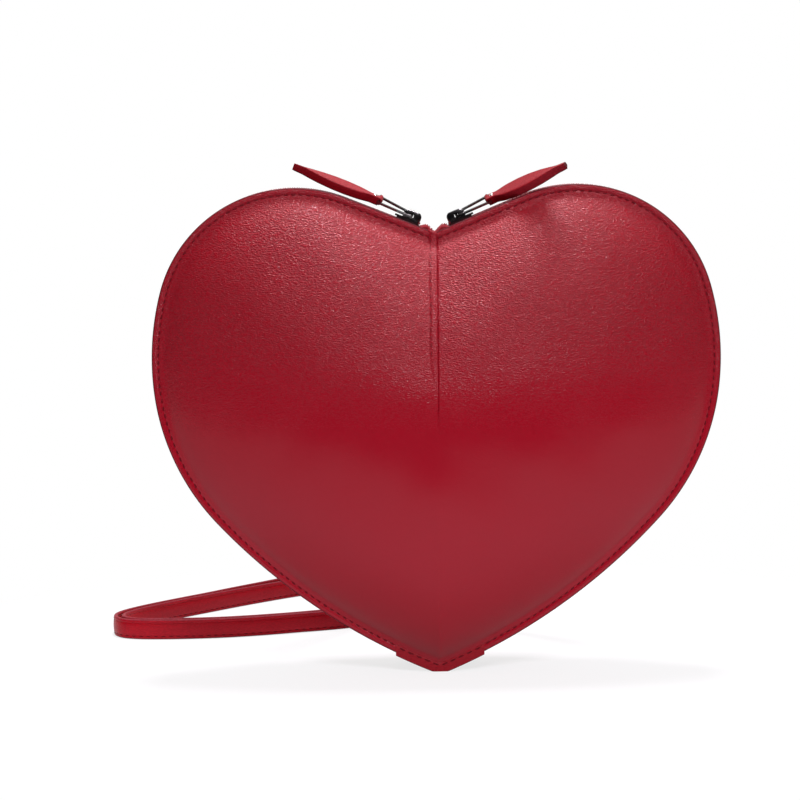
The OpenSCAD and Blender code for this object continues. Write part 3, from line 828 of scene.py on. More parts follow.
@dataclass
class Strap:
    """The strap: two plies sewn together, which lie on edge in two turns of a loop on the floor.

    ROUTE holds places, in metres, and the direction of the strap's width at each.
    HALF_SECTION is half of one face across, by width and thickness in millimetres.
    """

    finishes: Finishes
    width: float = 9 * MM
    painted_from: float = 4.1 * MM
    stand_off: float = 3.2 * MM
    sewn_at: float = 0.8
    leaves_at: float = -0.3
    halvings: int = 4
    seam: float = 3.05 * MM
    seam_out: float = 0.93 * MM
    stitch_pitch: float = 3.4 * MM
    stitch_len: float = 2.3 * MM
    stitch_w: float = 0.42 * MM
    ROUTE = (
        ((-0.08, 0.031, 0.133), (1, 0.12, 0)), ((-0.072, 0.04, 0.108), (1, 0, 0.2)),
        ((-0.059, 0.057, 0.078), (1, 0, 0.6)), ((-0.041, 0.083, 0.047), (0.5, 0, 1)),
        ((-0.024, 0.113, 0.023), (0.2, 0, 1)), ((-0.014, 0.14, 0.0095), (0, 0, 1)),
        ((-0.017, 0.163, 0.005), (0, 0, 1)), ((-0.033, 0.1775, 0.0046), (0, 0, 1)),
        ((-0.0555, 0.1755, 0.0046), (0, 0, 1)), ((-0.082, 0.155, 0.0046), (0, 0, 1)),
        ((-0.1087, 0.1285, 0.0046), (0, 0, 1)), ((-0.131, 0.104, 0.0046), (0, 0, 1)),
        ((-0.1437, 0.0847, 0.0046), (0, 0, 1)), ((-0.1414, 0.0729, 0.0046), (0, 0, 1)),
        ((-0.1279, 0.069, 0.0046), (0, 0, 1)), ((-0.0972, 0.0706, 0.0046), (0, 0, 1)),
        ((-0.0632, 0.0801, 0.0046), (0, 0, 1)), ((-0.0315, 0.0944, 0.0046), (0, 0, 1)),
        ((-0.0033, 0.1104, 0.0046), (0, 0, 1)), ((0.0168, 0.13, 0.0046), (0, 0, 1)),
        ((0.0188, 0.156, 0.0046), (0, 0, 1)), ((0.0028, 0.1796, 0.0046), (0, 0, 1)),
        ((-0.0273, 0.1913, 0.0046), (0, 0, 1)), ((-0.0597, 0.1838, 0.0046), (0, 0, 1)),
        ((-0.085, 0.1606, 0.0046), (0, 0, 1)), ((-0.1115, 0.1312, 0.0046), (0, 0, 1)),
        ((-0.134, 0.1064, 0.0046), (0, 0, 1)), ((-0.1473, 0.086, 0.0046), (0, 0, 1)),
        ((-0.1443, 0.0705, 0.0046), (0, 0, 1)), ((-0.1279, 0.0652, 0.0046), (0, 0, 1)),
        ((-0.0963, 0.0669, 0.0046), (0, 0, 1)), ((-0.0618, 0.0764, 0.0047), (0, 0, 1)),
        ((-0.0274, 0.089, 0.0056), (0, 0, 1)), ((0.005, 0.088, 0.016), (-0.2, 0, 1)),
        ((0.034, 0.074, 0.042), (-0.5, 0, 1)), ((0.058, 0.054, 0.077), (-1, 0, 0.6)),
        ((0.073, 0.039, 0.109), (-1, 0, 0.2)), ((0.0805, 0.0305, 0.134), (-1, 0.12, 0)),
    )
    HALF_SECTION = (
        (4.5, 0.0), (4.46, 0.42), (4.3, 0.74), (4.02, 0.9), (3.6, 0.98), (3.28, 0.94), (3.05, 0.82),
        (2.82, 0.95), (2.3, 1.07), (1.3, 1.16), (0.4, 1.2),
    )

    def on_pad(self, side: Side, share: float) -> tuple[Point, Point]:
        """A place of the route on a pad, and the direction of the strap's width there."""
        x, z = FITTINGS.pad
        half = self.width / 2
        lean = float(HEART.lobe_height(x + half, z) - HEART.lobe_height(x - half, z)) / self.width
        z += share * FITTINGS.pad_height / 2
        y = float(HEART.lobe_height(x, z)) + self.stand_off
        return (side.sign * x, y, z), (-side.sign, -lean, 0)

    def line(self) -> tuple[Array, Array]:
        """Close points along the strap, and the direction of its width at each."""
        left, right = (
            [self.on_pad(side, share) for share in (self.sewn_at, self.leaves_at)]
            for side in (Side.LEFT, Side.RIGHT)
        )
        route = [*left, *self.ROUTE, *reversed(right)]
        both = np.array([[*place, *hint] for place, hint in route], dtype=float)
        for _ in range(self.halvings):
            both = halved(both)
        return both[:, :3], both[:, 3:]

    def section(self) -> tuple[Array, Array]:
        """Outline of the strap across, as width and thickness, and which faces are painted edge."""
        upper = [*self.HALF_SECTION, *((-w, t) for w, t in reversed(self.HALF_SECTION))]
        lower = [(w, -t) for w, t in reversed(upper[1:-1])]
        ring = np.array(upper + lower) * MM
        middle = (ring + np.roll(ring, -1, axis=0)) / 2
        return ring, (np.abs(middle[:, 0]) > self.painted_from).astype(int)

    def make(self) -> list[bpy.types.Object]:
        line, hint = self.line()
        ahead = unit(np.gradient(line, axis=0))
        wide = unit(hint - ahead * np.sum(hint * ahead, axis=1, keepdims=True))
        thick = np.cross(ahead, wide)
        ring, edges = self.section()
        rows = line[:, None] + wide[:, None] * ring[:, :1] + thick[:, None] * ring[:, 1:]
        piece = Piece("strap_leather", self.finishes.strap, self.finishes.strap_edge)
        piece.tube(rows, edges[None, :], 1)
        strap = piece.make("purse", "strap_leather", "strap")

        run = np.concatenate([[0], np.cumsum(np.linalg.norm(np.diff(line, axis=0), axis=1))])
        spots = np.arange(self.stitch_pitch, run[-1] - self.stitch_pitch, self.stitch_pitch)

        def at(values: Array) -> Array:
            return np.stack([np.interp(spots, run, values[:, k]) for k in range(3)], axis=1)

        stitches = []
        rods = Capsules(self.stitch_len, self.stitch_w, around=5, along=4)
        threads = ((-1, "low", self.finishes.thread), (1, "high", self.finishes.light_thread))
        for side, word, thread in threads:
            sewing = Piece(f"strap_stitches_{word}", thread)
            for face in (-1, 1):
                place = at(line) + at(wide) * self.seam * side + at(thick) * self.seam_out * face
                rods.sew(sewing, place, at(ahead), at(thick) * face)
            stitches.append(sewing.make("purse", "strap_leather"))
        return [strap, *stitches]


def smooth_step(low: float, high: float, at: Array) -> Array:
    """Zero below low, one above high, and smooth between; the two may be swapped."""
    k = np.clip((np.asarray(at, dtype=float) - low) / (high - low), 0, 1)
    return k * k * (3 - 2 * k)


def bell(at: Array, width: float) -> Array:
    """One at zero, falling off smoothly over a width."""
    return np.exp(-((np.asarray(at, dtype=float) / width) ** 2))


def mirrored(points: Array, side: Side) -> Array:
    """Points of the back or of the right, turned over to the front or the left where asked."""
    axis = 1 if side in (Side.FRONT, Side.BACK) else 0
    out = points.copy()
    out[..., axis] *= side.sign
    return out


def facing(sign: float, count: int) -> Array:
    """Directions straight to the front or the back, one for each of many places."""
    return np.tile(np.array([0.0, sign, 0.0]), (count, 1))


@dataclass(frozen=True)
class Puff:
    """A soft puff of the leather, or a dent where its height is less than nought."""

    x: float
    z: float
    radius: float
    squash: float
    height: float

    def at(self, x: Array, z: Array) -> Array:
        """Its height at a place."""
        return self.height * bell(np.hypot(x - self.x, (z - self.z) * self.squash), self.radius)


@dataclass
class Panel:
    """One of the two domed leather panels, with its painted edge and its row of stitches.

    EDGE goes round the edge by its depth inside the outline and its rise from the band, and
    NEAR_ROWS are distances of rows of points from the edge. CLOSE is how far stations lie close
    together at the cleft, and their step. All are in millimetres. CROSSING and SLANTS are slow
    waves of the leather, in radians for each millimetre, with their phases.
    """

    side: Side
    finishes: Finishes
    seam: float = 2.75 * MM
    stitch_pitch: float = 3.3 * MM
    stitch_len: float = 2.35 * MM
    stitch_w: float = 0.58 * MM
    stitch_sunk: float = 0.16 * MM
    stitch_tilt: float = 0.12
    first_stitch: float = 2.4 * MM
    under_patch: float = 17 * MM
    wave: float = 0.13 * MM
    wave_fades: tuple[float, float] = (6 * MM, 26 * MM)
    swell_at: float = 1.3 * MM
    swell_w: float = 0.9 * MM
    swell: float = 0.13 * MM
    groove: float = 0.3 * MM
    groove_w: float = 0.46 * MM
    dart_groove: float = 0.42 * MM
    dart_groove_w: float = 0.36 * MM
    dart_groove_fades: tuple[float, float] = (105 * MM, 112 * MM)
    dart_groove_starts: tuple[float, float] = (0.4 * MM, 4 * MM)
    far_from: float = 9.6 * MM
    far_to: float = 1.6 * MM
    far_rows: int = 62
    under_from: float = 1.6 * MM
    under_to: float = 4 * MM
    under_rows: int = 26
    painted_rows: int = 8
    far_stations: int = 350
    EDGE = (
        (0.60, 0.0), (0.22, 0.04), (0.05, 0.16), (0.0, 0.36), (0.0, 0.85), (0.0, 1.22),
        (0.07, 1.42), (0.21, 1.58), (0.42, 1.67), (0.66, 1.7),
    )
    NEAR_ROWS = (
        1.0, 1.4, 1.8, 2.1, 2.3, 2.5, 2.63, 2.75, 2.87, 3.0, 3.2, 3.5, 3.9, 4.5, 5.2, 6.0, 7.0, 8.2,
    )
    CLOSE = (6.0, 0.3)
    CROSSING = ((0.115, 1.3), (0.098, 0.4))
    SLANTS = ((0.7, 0.096, 0.16, 2.1), (0.5, 0.21, -0.147, 0.6))
    PUFFS = (
        Puff(0.0, 107.5 * MM, 3.0 * MM, 0.8, -0.3 * MM), Puff(6 * MM, 104 * MM, 7 * MM, 0.7, 0.55 * MM),
    )

    def stations(self) -> Array:
        """Places along the whole edge, closer together at the cleft."""
        run, step = self.CLOSE
        near = np.arange(0, run, step) * MM
        far = np.linspace(run * MM, HEART.half_length, self.far_stations)
        right = np.concatenate([near, far])
        return np.concatenate([right, -right[1:-1][::-1]])

    def relief(self, points: Array, inward: Array) -> Array:
        """How far the skin stands out from the plain dome: waves, the seam and the stitches."""
        x, z = points[..., 0], points[..., 2]
        (turn_x, phase_x), (turn_z, phase_z) = self.CROSSING
        slow = np.sin(turn_x * x / MM + phase_x) * np.sin(turn_z * z / MM + phase_z)
        for strength, turn_x, turn_z, phase in self.SLANTS:
            slow = slow + strength * np.sin(turn_x * x / MM + turn_z * z / MM + phase)
        out = self.wave * slow * smooth_step(*self.wave_fades, inward)
        out = out + self.swell * bell(inward - self.swell_at, self.swell_w)
        out = out - self.groove * bell(inward - self.seam, self.groove_w)
        fade = smooth_step(*self.dart_groove_fades, z)
        fade = fade * smooth_step(*self.dart_groove_starts, inward)
        out = out - self.dart_groove * bell(x - HEART.seam_x(z), self.dart_groove_w) * fade
        for puff in self.PUFFS:
            out = out + puff.at(x, z)
        return out

    def outer(self, along: Array) -> Array:
        """Rows of the outer skin."""
        total = HEART.rim_w + HEART.dome_r
        far = np.linspace(self.far_from, total - self.far_to, self.far_rows)
        inward = np.concatenate([np.array(self.NEAR_ROWS) * MM, far])
        rows = np.stack([HEART.dome(along, np.full_like(along, d)) for d in inward])
        rows[..., 1] += self.relief(rows, np.broadcast_to(inward[:, None], rows.shape[:2]))
        return rows

    def make(self) -> list[bpy.types.Object]:
        """Makes the panel and its stitches."""
        along = self.stations()
        edge = []
        for depth, rise in self.EDGE:
            x, z = HEART.edge(along, depth * MM)
            edge.append(np.stack([x, np.full_like(x, HEART.band_w / 2 + rise * MM), z], axis=-1))
        total = HEART.rim_w + HEART.dome_r
        under = np.linspace(self.under_from, total - self.under_to, self.under_rows)
        inner = [HEART.dome(along, np.full_like(along, d), HEART.panel_t) for d in under]
        rows = mirrored(np.stack(inner[::-1] + edge + list(self.outer(along))), self.side)
        piece = Piece(f"{self.side.word}_panel_leather", self.finishes.panel, self.finishes.paint)
        numbers = piece.add(rows)
        painted = np.zeros(len(rows) - 1, dtype=int)
        painted[len(inner):len(inner) + self.painted_rows] = 1
        piece.net(numbers, painted[:, None], around=True)
        centre = HEART.dome(np.array([0.0]), np.array([total]))[0]
        centre[1] += float(self.relief(centre[None], np.array([total]))[0])
        deep = centre - np.array([0, HEART.panel_t, 0])
        piece.fan(numbers[-1], mirrored(centre, self.side))
        piece.fan(numbers[0], mirrored(deep, self.side))
        return [piece.make("purse", "panel_leather", f"{self.side.word}_panel"), self.stitches()]

    def stitches(self) -> bpy.types.Object:
        """A row of stitches in the groove along the edge, left out under the patch."""
        last = HEART.half_length - self.under_patch
        spots = np.arange(self.first_stitch, last, self.stitch_pitch)
        spots = np.concatenate([-spots[::-1], spots])
        step = 0.3 * MM
        places, ahead = [], []
        for s in spots:
            x, z = HEART.edge(np.array([s - step, s, s + step]), self.seam)
            places.append((x[1], HEART.rim_y - self.stitch_sunk, z[1]))
            tilt = self.stitch_tilt * (1 if s > 0 else -1)
            dx, dz = x[2] - x[0], z[2] - z[0]
            ahead.append((dx - dz * tilt, 0.0, dz + dx * tilt))
        places = mirrored(np.array(places), self.side)
        piece = Piece(f"{self.side.word}_edge_stitches", self.finishes.thread)
        rods = Capsules(self.stitch_len, self.stitch_w)
        rods.sew(piece, places, np.array(ahead), facing(self.side.sign, len(places)))
        return piece.make("purse", "panel_leather")


@dataclass
class Dart:
    """The seam allowance beside a dart's seam, raised under the leather, with its stitches.

    PROFILE goes across it, by distance from the seam in millimetres and share of its height.
    WRAP goes over the edge at the cleft, by distance down and drop, and FADES tells between which
    distances down a share of the height goes, all in millimetres.
    """

    side: Side
    finishes: Finishes
    height: float = 0.7 * MM
    seam: float = 2.7 * MM
    reach: float = 72 * MM
    rows_from: float = 0.8 * MM
    rows: int = 110
    narrows_from: float = 48 * MM
    narrowing: float = 0.72
    seam_narrowing: float = 0.5
    seam_share: float = 0.5
    start: float = 0.7
    start_run: float = 0.4 * MM
    sunk: float = 0.02 * MM
    first_stitch: float = 4.2 * MM
    last_stitch: float = 52 * MM
    stitch_pitch: float = 3.25 * MM
    stitch_len: float = 2.2 * MM
    stitch_w: float = 0.46 * MM
    PROFILE = (
        (0.0, -0.5), (0.03, 0.1), (0.1, 0.5), (0.25, 0.78), (0.5, 0.93), (0.9, 1.0), (1.5, 1.0),
        (2.0, 0.95), (2.35, 0.82), (2.55, 0.62), (2.7, 0.5), (2.85, 0.45), (3.0, 0.36), (3.2, 0.2),
        (3.4, 0.02), (3.6, -0.35),
    )
    WRAP = ((0.05, -1.1), (0.0, -0.6), (0.02, -0.3), (0.12, -0.12), (0.35, -0.02))
    FADES = ((66.0, 34.0, 0.85), (71.0, 58.0, 0.15))

    def place(self, across: Array, down: Array) -> tuple[Array, Array, Array]:
        """Points of the plain dome beside the seam.

        Args:
            across: distance to the left of the seam.
            down: distance below the edge at the cleft.

        Returns:
            X, the height out, and Z.
        """
        z = HEART.cleft_z - down + across * math.tan(HEART.cleft_slope)
        x = HEART.seam_x(z) - across
        return x, HEART.dome_height(x, z), z

    def strength(self, down: Array) -> Array:
        """How much of the full relief is left at a distance below the cleft."""
        return sum(share * smooth_step(end * MM, begin * MM, down) for end, begin, share in self.FADES)

    def make(self) -> list[bpy.types.Object]:
        """Makes the raised strip and its stitches."""
        profile = np.array(self.PROFILE) * [MM, self.height]
        wrap = np.array(self.WRAP) * MM
        down = np.concatenate([wrap[:, 0], np.linspace(self.rows_from, self.reach, self.rows)])
        drop = np.concatenate([wrap[:, 1], np.zeros(self.rows)])
        narrow = 1 - self.narrowing * smooth_step(self.narrows_from, self.reach, down)
        across = profile[None, :, 0] * narrow[:, None]
        x, y, z = self.place(across, np.broadcast_to(down[:, None], across.shape))
        fade = self.strength(down)[:, None]
        rise = np.where(profile[None, :, 1] > 0, profile[None, :, 1] * fade, profile[None, :, 1])
        out = self.start + (1 - self.start) * smooth_step(0.0, self.start_run, down)[:, None]
        strip = np.stack([x, y + rise * out + drop[:, None] - self.sunk, z], axis=-1)
        piece = Piece(f"{self.side.word}_dart_leather", self.finishes.panel)
        piece.net(piece.add(mirrored(strip, self.side)))
        dart = piece.make("purse", "trim_leather", f"{self.side.word}_dart")

        spots = np.arange(self.first_stitch, self.last_stitch, self.stitch_pitch)
        narrow = 1 - self.seam_narrowing * smooth_step(self.narrows_from, self.reach, spots)
        x, y, z = self.place(self.seam * narrow, spots)
        up = self.seam_share * self.height * self.strength(spots)
        places = np.stack([x, y + up, z], axis=-1)
        ahead = np.gradient(places, axis=0)
        sewing = Piece(f"{self.side.word}_dart_stitches", self.finishes.thread)
        Capsules(self.stitch_len, self.stitch_w).sew(
            sewing, mirrored(places, self.side), mirrored(ahead, self.side),
            facing(self.side.sign, len(places)),
        )
        return [dart, sewing.make("purse", "trim_leather")]


@dataclass
class Sweep:
    """A band that follows the outline with one section, given as pairs of Y and depth."""

    section: Array
    along: Array
    lift: Callable[[Array], Array] | None = None

    def rows(self) -> Array:
        """Rings of points, one for each place along the edge."""
        rings = []
        for s in self.along:
            lift = float(self.lift(np.array([s]))[0]) if self.lift else 0.0
            depth = self.section[:, 1] - lift
            x, z = HEART.edge(np.full(len(depth), s), depth)
            rings.append(np.stack([x, self.section[:, 0], z], axis=-1))
        return np.array(rings)


def over_top(step: float) -> Array:
    """Places along the edge from one end of the zip to the other."""
    reach = HEART.zip_length
    count = int(2 * reach / step) // 2 * 2 + 1
    return np.linspace(-reach, reach, count)


def under_bottom(step: float) -> Array:
    """Places along the edge from the right end of the zip round the point to the left end."""
    start, end = HEART.zip_length, HEART.half_length
    right = np.linspace(start, end, int((end - start) / step))
    return np.concatenate([right, -right[:-1][::-1]])


@dataclass
class Zip:
    """The two tapes of the zip and its coil.

    A tape beside the cleft bulges up by the hump. A loop of the coil goes from loop_near to
    loop_far off the middle, and from loop_low to loop_high inside the outline. Past the straight
    run its near end crosses the middle by meshed, so that the two coils mesh.
    """

    finishes: Finishes
    tape_in: float = 0.6 * MM
    tape_t: float = 0.6 * MM
    tape_from: float = 3.0 * MM
    tape_corner: float = 0.18 * MM
    tape_step: float = 1.6 * MM
    hump: float = 2.2 * MM
    hump_at: float = 3.5 * MM
    hump_w: float = 2.6 * MM
    hump_share: float = 0.8
    coil_pitch: float = 1.95 * MM
    wire: float = 0.62 * MM
    wire_sides: int = 6
    steps: int = 12
    stop_len: float = 5 * MM
    stop_gap: float = 0.4 * MM
    loop_near: float = 0.95 * MM
    loop_far: float = 2.75 * MM
    loop_low: float = 1.4 * MM
    loop_high: float = 0.04 * MM
    meshed: float = 1.25 * MM
    meshes_from: float = 1 * MM
    meshes_to: float = 5 * MM
    slack: float = 0.22
    slack_phase: float = 0.6
    hub_depth: float = 8 * MM

    def rise(self, along: Array) -> Array:
        """How far the tape bulges up beside the cleft, where it can't follow the sharp fold."""
        return self.hump * bell(np.abs(along) - self.hump_at, self.hump_w)

    def tape(self, side: Side) -> bpy.types.Object:
        """One tape: its outer wall, and its edge turned in behind the panel's rim."""
        inner, outer = self.tape_from, HEART.band_w / 2
        top, t = self.tape_in, self.tape_t
        turn_in = top + HEART.rim_w
        corners = [
            (inner, top), (outer - t, top), (outer, top + t), (outer, turn_in),
            (outer - t, turn_in), (outer - t, top + t), (inner, top + t),
        ]
        section = rounded(corners, self.tape_corner, 2)
        section[:, 0] *= side.sign
        piece = Piece(f"{side.word}_tape_cloth", self.finishes.tape)
        piece.tube(Sweep(section, over_top(self.tape_step), self.rise).rows())
        return piece.make("purse", "zip_tape", f"{side.word}_zip_tape")

    def coil_line(self, side: Side) -> tuple[Array, Array]:
        """The middle of a coil's wire, and a line under it that its loops go round."""
        reach = HEART.zip_length - self.stop_len - self.stop_gap
        turns = int(2 * reach / self.coil_pitch)
        shift = 0.5 if side is Side.BACK else 0.0
        t = np.arange(turns * self.steps) / self.steps
        along = (t + shift - turns / 2) * self.coil_pitch
        angle = 2 * math.pi * t
        run = HEART.cleft_run
        meshed = smooth_step(run + self.meshes_from, run + self.meshes_to, np.abs(along))
        inner = self.loop_near - self.meshed * meshed
        middle, reach_y = (inner + self.loop_far) / 2, (self.loop_far - inner) / 2
        level, swing = (self.loop_low + self.loop_high) / 2, (self.loop_low - self.loop_high) / 2
        depth = level - swing * np.sin(angle) - self.rise(along) * self.hump_share
        slack = self.slack * self.coil_pitch * np.sin(angle + self.slack_phase)
        x, z = HEART.edge(along + slack, depth)
        line = np.stack([x, middle + reach_y * np.cos(angle), z], axis=-1)
        x, z = HEART.edge(along, self.hub_depth)
        return mirrored(line, side), mirrored(np.stack([x, middle, z], axis=-1), side)

    def coil(self, side: Side) -> bpy.types.Object:
        """One coil, parted from the other on the run of the sliders and meshed with it beyond."""
        line, hub = self.coil_line(side)
        ahead = unit(np.gradient(line, axis=0))
        one = unit(np.cross(ahead, unit(line - hub)))
        other = np.cross(ahead, one)
        ring = np.linspace(0, 2 * math.pi, self.wire_sides, endpoint=False)
        wide, high = (f(ring)[:, None] * self.wire / 2 for f in (np.cos, np.sin))
        piece = Piece(f"{side.word}_coil", self.finishes.coil)
        piece.tube(line[:, None] + one[:, None] * wide + other[:, None] * high)
        return piece.make("purse", "zip_teeth", f"{side.word}_zip_teeth")

    def make(self) -> list[bpy.types.Object]:
        """Makes the four pieces."""
        return [make(side) for side in (Side.FRONT, Side.BACK) for make in (self.tape, self.coil)]


@dataclass
class Gusset:
    """The leather band under the purse, with its edges turned in behind both rims."""

    finishes: Finishes
    thick: float = 1.2 * MM
    top: float = 0.6 * MM
    corner: float = 0.3 * MM
    step: float = 2.4 * MM

    def make(self) -> list[bpy.types.Object]:
        """Makes the band."""
        side, t, top = HEART.band_w / 2, self.thick, self.top
        deep = top + HEART.rim_w
        corners = [
            (-side, top), (side, top), (side, deep), (side - t, deep), (side - t, top + t),
            (t - side, top + t), (t - side, deep), (-side, deep),
        ]
        piece = Piece("gusset_leather", self.finishes.smooth)
        piece.tube(Sweep(rounded(corners, self.corner, 3), under_bottom(self.step)).rows())
        return [piece.make("purse", "trim_leather", "gusset")]


@dataclass
class Patch:
    """The small leather patch folded round the point over both rims."""

    finishes: Finishes
    reach: float = 18.7 * MM
    thick: float = 1.2 * MM
    flap: float = 3.7 * MM
    lip: float = 0.26 * MM
    tuck: float = 0.25 * MM
    taper: float = 0.1 * MM
    shoulder: float = 1.6 * MM
    corner: float = 0.45 * MM
    columns: int = 91
    crowding: float = 0.9
    outline_run: float = 60 * MM
    samples: int = 400
    painted_in: float = 0.3 * MM
    seam: float = 2.5 * MM
    stitch_pitch: float = 3.5 * MM
    first_stitch: float = 1.9 * MM
    stitch_margin: float = 0.8 * MM
    stitch_len: float = 2.9 * MM
    stitch_w: float = 0.62 * MM
    stitch_out: float = 0.02 * MM

    def height(self, x: Array, depth: float) -> Array:
        """Z of the outline near the point at a depth, with the part under the floor cut off."""
        end = HEART.half_length
        along = np.linspace(end - self.outline_run, end, self.samples)
        ex, ez = HEART.edge(along, depth)
        order = np.argsort(ex)
        return np.maximum(np.interp(np.abs(x), ex[order], ez[order]), 0.0)

    def make(self) -> list[bpy.types.Object]:
        """Makes the patch and a row of stitches on each face."""
        x = np.linspace(-1, 1, self.columns)
        x = np.sign(x) * np.abs(x) ** self.crowding * self.reach
        out, inn = HEART.rim_y + self.lip, HEART.rim_y - self.tuck
        shoulder = self.flap - self.shoulder
        corners = [
            (-inn - self.taper, self.flap), (-out, shoulder), (-out, -self.thick), (out, -self.thick),
            (out, shoulder), (inn + self.taper, self.flap), (inn, self.flap), (inn, 0.0),
            (-inn, 0.0), (-inn, self.flap),
        ]
        section = rounded(corners, self.corner, 4)
        z = np.array([self.height(x, depth) for depth in section[:, 1]]).T
        across = np.broadcast_to(section[None, :, 0], z.shape)
        rings = np.stack([np.broadcast_to(x[:, None], z.shape), across, z], axis=-1)
        middle = (section + np.roll(section, -1, axis=0)) / 2
        painted = (middle[:, 1] < self.painted_in - self.thick).astype(int)
        piece = Piece("patch_leather", self.finishes.smooth, self.finishes.paint)
        piece.tube(rings, painted[None, :], 1)
        patch = piece.make("purse", "trim_leather", "tip_patch")

        half = np.arange(self.first_stitch, self.reach - self.stitch_margin, self.stitch_pitch)
        spots = np.concatenate([-half[::-1], half])
        step = 0.2 * MM
        climb = self.height(spots + step, self.seam) - self.height(spots - step, self.seam)
        ahead = np.stack([np.full_like(spots, 2 * step), np.zeros_like(spots), climb], axis=-1)
        sewing = Piece("patch_stitches", self.finishes.thread)
        rods = Capsules(self.stitch_len, self.stitch_w)
        for sign in (-1, 1):
            y = np.full_like(spots, sign * (out + self.stitch_out))
            places = np.stack([spots, y, self.height(spots, self.seam)], axis=-1)
            rods.sew(sewing, places, ahead, facing(sign, len(spots)))
        return [patch, sewing.make("purse", "trim_leather")]


@dataclass
class Anchor:
    """A leather pad sewn on the back, to which an end of the strap is sewn.

    LEVELS goes round a section of the pad by inset and height in millimetres, and PAINTED tells
    which of the bands between its places are painted edge.
    """

    side: Side
    finishes: Finishes
    width: float = 14 * MM
    gap: float = 0.3 * MM
    corner: float = 2.4 * MM
    least_corner: float = 0.3 * MM
    seam: float = 1.5 * MM
    seam_up: float = 1.3 * MM
    stitch_pitch: float = 3.0 * MM
    stitch_len: float = 2.0 * MM
    stitch_w: float = 0.45 * MM
    LEVELS = (
        (3.4, 0.0), (0.3, 0.0), (0.06, 0.14), (0.0, 0.4), (0.0, 1.0), (0.08, 1.25), (0.35, 1.4),
        (1.1, 1.36), (1.5, 1.25), (1.9, 1.36), (3.4, 1.4),
    )
    PAINTED = (0, 1, 1, 1, 1, 1, 0, 0, 0, 0)

    def outline(self, inset: float, steps: int = 6) -> Array:
        """The pad's outline as X and Z, drawn in by an inset."""
        w, h = self.width / 2 - inset, FITTINGS.pad_height / 2 - inset
        corners = [(-w, -h), (0, -h), (w, -h), (w, 0), (w, h), (0, h), (-w, h), (-w, 0)]
        ring = rounded(corners, max(self.corner - inset, self.least_corner), steps)
        return ring + np.array(FITTINGS.pad)

    def on_panel(self, x: Array, z: Array, up: float) -> Array:
        """Points at a height over the panel's skin."""
        return np.stack([x, HEART.lobe_height(x, z) + self.gap + up, z], axis=-1)

    def make(self) -> list[bpy.types.Object]:
        """Makes the pad and the stitches round it."""
        rings = [(self.outline(inset * MM), up * MM) for inset, up in self.LEVELS]
        rows = np.array([self.on_panel(ring[:, 0], ring[:, 1], up) for ring, up in rings])
        rows = mirrored(rows, self.side)
        name = self.side.word
        piece = Piece(f"{name}_anchor_leather", self.finishes.smooth, self.finishes.paint)
        numbers = piece.add(rows)
        piece.net(numbers, np.array(self.PAINTED)[:, None], around=True)
        piece.fan(numbers[0], rows[0].mean(axis=0))
        piece.fan(numbers[-1], rows[-1].mean(axis=0))
        pad = piece.make("purse", "trim_leather", f"{name}_anchor")

        ring = self.outline(self.seam, 8)
        closed = np.concatenate([ring, ring[:1]])
        run = np.concatenate([[0], np.cumsum(np.linalg.norm(np.diff(closed, axis=0), axis=1))])
        count = int(run[-1] / self.stitch_pitch)
        spots = (np.arange(count) + 0.5) / count * run[-1]
        step = 0.3 * MM
        places, next_places = (
            self.on_panel(*(np.interp(s, run, closed[:, k]) for k in (0, 1)), self.seam_up)
            for s in (spots, (spots + step) % run[-1])
        )
        sewing = Piece(f"{name}_anchor_stitches", self.finishes.thread)
        Capsules(self.stitch_len, self.stitch_w).sew(
            sewing, mirrored(places, self.side), mirrored(next_places - places, self.side),
            facing(1, count),
        )
        return [pad, sewing.make("purse", "trim_leather")]


@dataclass(frozen=True)
class Pose:
    """How a link and its leather lie, in degrees."""

    lean: float
    droop: float
    turn: float
    roll: float
    link_roll: float = 22.0


def turned(angle: float, axis: str) -> Array:
    """A rotation in degrees as a matrix."""
    return np.array(Matrix.Rotation(math.radians(angle), 3, axis))


